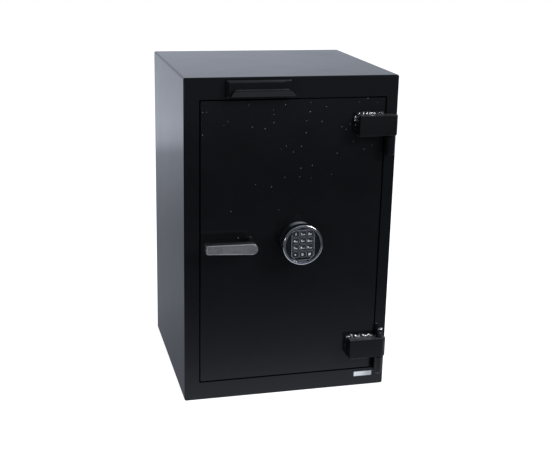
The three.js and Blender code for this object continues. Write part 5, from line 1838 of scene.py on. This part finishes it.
@dataclass
class Studio:
    """The floor, the lamps, the surroundings and the camera."""

    eye: Point = (-0.50323, -2.000448, 0.922459)
    yaw: float = 14.779
    pitch: float = 16.7868
    roll: float = 1.337
    lens: float = 65.17
    sensor: float = 36.0
    nearest: float = 0.05
    farthest: float = 60.0
    lamps: tuple[Lamp, ...] = (
        Lamp("key_lamp", (1.75, -1.9, 1.75), (0.0, -0.1, 0.35), 1.05, 40.0, True),
        Lamp("left_lamp", (-1.30, -1.73, 0.41), (0.0, -0.2, 0.33), 0.3, 3.0, True),
        Lamp("top_lamp", (0.6, -0.5, 2.4), (0.0, 0.0, 0.3), 1.4, 14.0, False))
    floor_reach: float = 6.0
    floor_sides: int = 96
    floor_colour: Colour = (0.62, 0.62, 0.62)
    seen_floor_colour: Colour = (0.5, 0.5, 0.5)
    floor_glow: float = 0.92
    # Levels of the floor as reflections see it: painted light and shade, dimmest just behind the
    # safe for its shadow.
    front_levels: Levels = (
        (-3.60, 0.26), (-3.10, 0.24), (-2.76, 0.09), (-2.20, 0.06), (-1.93, 0.03),
        (-1.60, 0.04), (-1.35, 0.10), (-0.94, 0.12), (-0.85, 0.14), (-0.735, 0.21),
        (-0.63, 0.32), (-0.506, 0.46), (-0.42, 0.64), (-0.375, 0.78), (-0.295, 1.12),
        (-0.20, 1.50))
    back_levels: Levels = (
        (-0.10, 0.190), (0.0, 0.200), (0.10, 0.215), (0.17, 0.232), (0.25, 0.248),
        (0.35, 0.275), (0.46, 0.285), (0.87, 0.288), (1.03, 0.297), (1.23, 0.332),
        (1.44, 0.371), (1.67, 0.423), (2.03, 0.487), (2.27, 0.77), (2.66, 0.88),
        (3.05, 0.84), (3.56, 0.805), (4.90, 0.74))
    front_end: float = -0.195
    apron_left: Pair = (-0.9, -0.4)
    apron_right: Pair = (0.9, 0.6)
    apron_front: float = -1.3
    wall_levels: Levels = ((0.12, 0.69), (0.25, 0.63), (0.34, 0.55))
    wall_start: Pair = (0.05, 0.35)
    room: float = 0.05
    ceiling: float = 0.28
    ceiling_rise: Pair = (0.1, 0.8)
    window: float = 0.9
    window_bottom: Pair = (0.06, 0.10)
    window_top: Pair = (0.21, 0.27)
    window_left: Pair = (0.06, 0.13)
    window_right: Pair = (0.35, 0.42)
    ambient: float = 0.35
    tint: Colour = (0.93, 1.0, 1.16)

    def build(self) -> None:
        """Sets up everything round the object."""
        scene = bpy.context.scene
        scene.view_settings.view_transform = "Standard"
        self._camera(scene)
        self._floor()
        self._world(scene)
        for lamp in self.lamps:
            lamp.hang()

    def _camera(self, scene: bpy.types.Scene) -> None:
        """Stands the camera where the photograph was taken.

        Args:
            scene: the scene.
        """
        yaw, pitch, roll = (math.radians(v) for v in (self.yaw, self.pitch, self.roll))
        forward = Vector((math.sin(yaw) * math.cos(pitch), math.cos(yaw) * math.cos(pitch),
                          -math.sin(pitch)))
        right = Vector((math.cos(yaw), -math.sin(yaw), 0.0))
        down = forward.cross(right)
        across = math.cos(roll) * right - math.sin(roll) * down
        below = math.sin(roll) * right + math.cos(roll) * down
        data = bpy.data.cameras.new("photo_camera")
        data.lens = self.lens
        data.sensor_width = self.sensor
        data.sensor_fit = "HORIZONTAL"
        data.clip_start = self.nearest
        data.clip_end = self.farthest
        camera = bpy.data.objects.new("photo_camera", data)
        turned_to = Matrix((across, -below, -forward)).transposed()
        camera.matrix_world = Matrix.Translation(self.eye) @ turned_to.to_4x4()
        scene.collection.objects.link(camera)
        scene.camera = camera

    @staticmethod
    def _by_ray(tree: Tree, plain_light: bpy.types.NodeSocket, mirrored: bpy.types.NodeSocket,
                seen: bpy.types.NodeSocket) -> bpy.types.NodeSocket:
        """Shows one shader to the camera, one to reflections and one to all other light.

        Args:
            tree: where the nodes go.
            plain_light: the shader for all other light.
            mirrored: the shader for reflections.
            seen: the shader for the camera.

        Returns:
            The chosen shader's socket.
        """
        path = tree.node("ShaderNodeLightPath")
        chosen = plain_light
        for ray, shader in (("Is Glossy Ray", mirrored), ("Is Camera Ray", seen)):
            pick = tree.node("ShaderNodeMixShader")
            tree.link(path.outputs[ray], pick.inputs[0])
            tree.link(chosen, pick.inputs[1])
            tree.link(shader, pick.inputs[2])
            chosen = pick.outputs[0]
        return chosen

    def _floor(self) -> None:
        """Lays the pale floor."""
        shape = bmesh.new()
        bmesh.ops.create_circle(shape, cap_ends=True, segments=self.floor_sides,
                                radius=self.floor_reach)
        mesh = as_mesh(shape)
        mesh.name = "floor"
        mesh.materials.append(self._floor_paint())
        floor = bpy.data.objects.new("floor", mesh)
        bpy.context.scene.collection.objects.link(floor)

    def _floor_paint(self) -> bpy.types.Material:
        """Makes the floor's paint: white to the camera but for shadows, and in reflections a
        painted light and shade.

        Returns:
            The material.
        """
        material = bpy.data.materials.new("floor_paint")
        material.use_nodes = True
        tree = Tree(material.node_tree)
        tree.tree.nodes.clear()
        out = tree.node("ShaderNodeOutputMaterial")
        plain_floor = tree.node("ShaderNodeBsdfDiffuse")
        plain_floor.inputs["Color"].default_value = (*self.floor_colour, 1.0)
        shown = tree.node("ShaderNodeBsdfDiffuse")
        shown.inputs["Color"].default_value = (*self.seen_floor_colour, 1.0)
        glow = tree.node("ShaderNodeEmission")
        glow.inputs["Strength"].default_value = self.floor_glow
        white = tree.node("ShaderNodeAddShader")
        tree.link(shown.outputs[0], white.inputs[0])
        tree.link(glow.outputs[0], white.inputs[1])
        mirrored = tree.node("ShaderNodeEmission")
        mirrored.inputs["Color"].default_value = (*self.tint, 1.0)
        tree.link(self._floor_level(tree), mirrored.inputs["Strength"])
        tree.link(self._by_ray(tree, plain_floor.outputs[0], mirrored.outputs[0],
                               white.outputs[0]), out.inputs[0])
        return material

    def _floor_level(self, tree: Tree) -> bpy.types.NodeSocket:
        """Paints the mirrored floor's light and shade: a brighter apron before the safe, and the
        floor behind it, dimmest near the safe where its painted shadow lies.

        Args:
            tree: where the nodes go.

        Returns:
            The brightness's socket.
        """
        split = tree.node("ShaderNodeSeparateXYZ")
        tree.link(tree.node("ShaderNodeTexCoord").outputs["Object"], split.inputs[0])
        across, depth = split.outputs["X"], split.outputs["Y"]
        apron = tree.math("MINIMUM", tree.ranged(across, *self.apron_left, 0.0, 1.0),
                          tree.ranged(across, *self.apron_right, 0.0, 1.0))
        apron = tree.math("MAXIMUM", apron, tree.math("LESS_THAN", depth, self.apron_front))
        near = tree.math("MULTIPLY", tree.levels(depth, self.front_levels), apron)
        far = tree.levels(depth, self.back_levels)
        before = tree.math("MULTIPLY", near, tree.math("LESS_THAN", depth, self.front_end))
        behind = tree.math("MULTIPLY", far, tree.math("GREATER_THAN", depth, self.front_end))
        return tree.math("ADD", before, behind)

    def _world(self, scene: bpy.types.Scene) -> None:
        """Makes the surroundings: white to the camera, a room in reflections, soft light else.

        Args:
            scene: the scene.
        """
        world = bpy.data.worlds.new("studio")
        scene.world = world
        world.use_nodes = True
        tree = Tree(world.node_tree)
        tree.tree.nodes.clear()
        out = tree.node("ShaderNodeOutputWorld")
        mirrored = tree.node("ShaderNodeBackground")
        mirrored.inputs["Color"].default_value = (*self.tint, 1.0)
        tree.link(self._room_level(tree), mirrored.inputs["Strength"])
        soft = tree.node("ShaderNodeBackground")
        soft.inputs["Color"].default_value = (*self.tint, 1.0)
        soft.inputs["Strength"].default_value = self.ambient
        white = tree.node("ShaderNodeBackground")
        white.inputs["Color"].default_value = (1.0, 1.0, 1.0, 1.0)
        tree.link(self._by_ray(tree, soft.outputs[0], mirrored.outputs[0], white.outputs[0]),
                  out.inputs[0])

    def _room_level(self, tree: Tree) -> bpy.types.NodeSocket:
        """Grades the mirrored room: dim with a window in front, and a pale wall behind.

        Args:
            tree: where the nodes go.

        Returns:
            The brightness's socket.
        """
        split = tree.node("ShaderNodeSeparateXYZ")
        tree.link(tree.node("ShaderNodeTexCoord").outputs["Generated"], split.inputs[0])
        across, depth, up = (split.outputs[axis] for axis in "XYZ")
        dim = tree.ranged(up, *self.ceiling_rise, self.room, self.ceiling)
        pane = tree.math("MULTIPLY", tree.band(up, self.window_bottom, self.window_top),
                         tree.band(across, self.window_left, self.window_right))
        ahead = tree.math("ADD", dim, tree.math("MULTIPLY", pane, self.window))
        behind = tree.ranged(depth, *self.wall_start, 0.0, 1.0)
        wall = tree.levels(across, self.wall_levels)
        front = tree.math("MULTIPLY", ahead, tree.math("SUBTRACT", 1.0, behind))
        return tree.math("ADD", front, tree.math("MULTIPLY", behind, wall))


def main() -> None:
    """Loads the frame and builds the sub-assemblies in order."""
    logging.basicConfig(level=logging.INFO, format="%(message)s", stream=sys.stdout)
    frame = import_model()
    palette = Palette()
    shop = Workshop(frame, palette)
    repeats = Repeats(palette)
    for maker in (Cabinet(shop), Hinges(shop, repeats), Door(shop, repeats),
                  Lever(shop), Keypad(shop), Drawer(shop), Studio()):
        LOG.info("building %s", type(maker).__name__)
        maker.build()


if __name__ == "__main__":
    main()
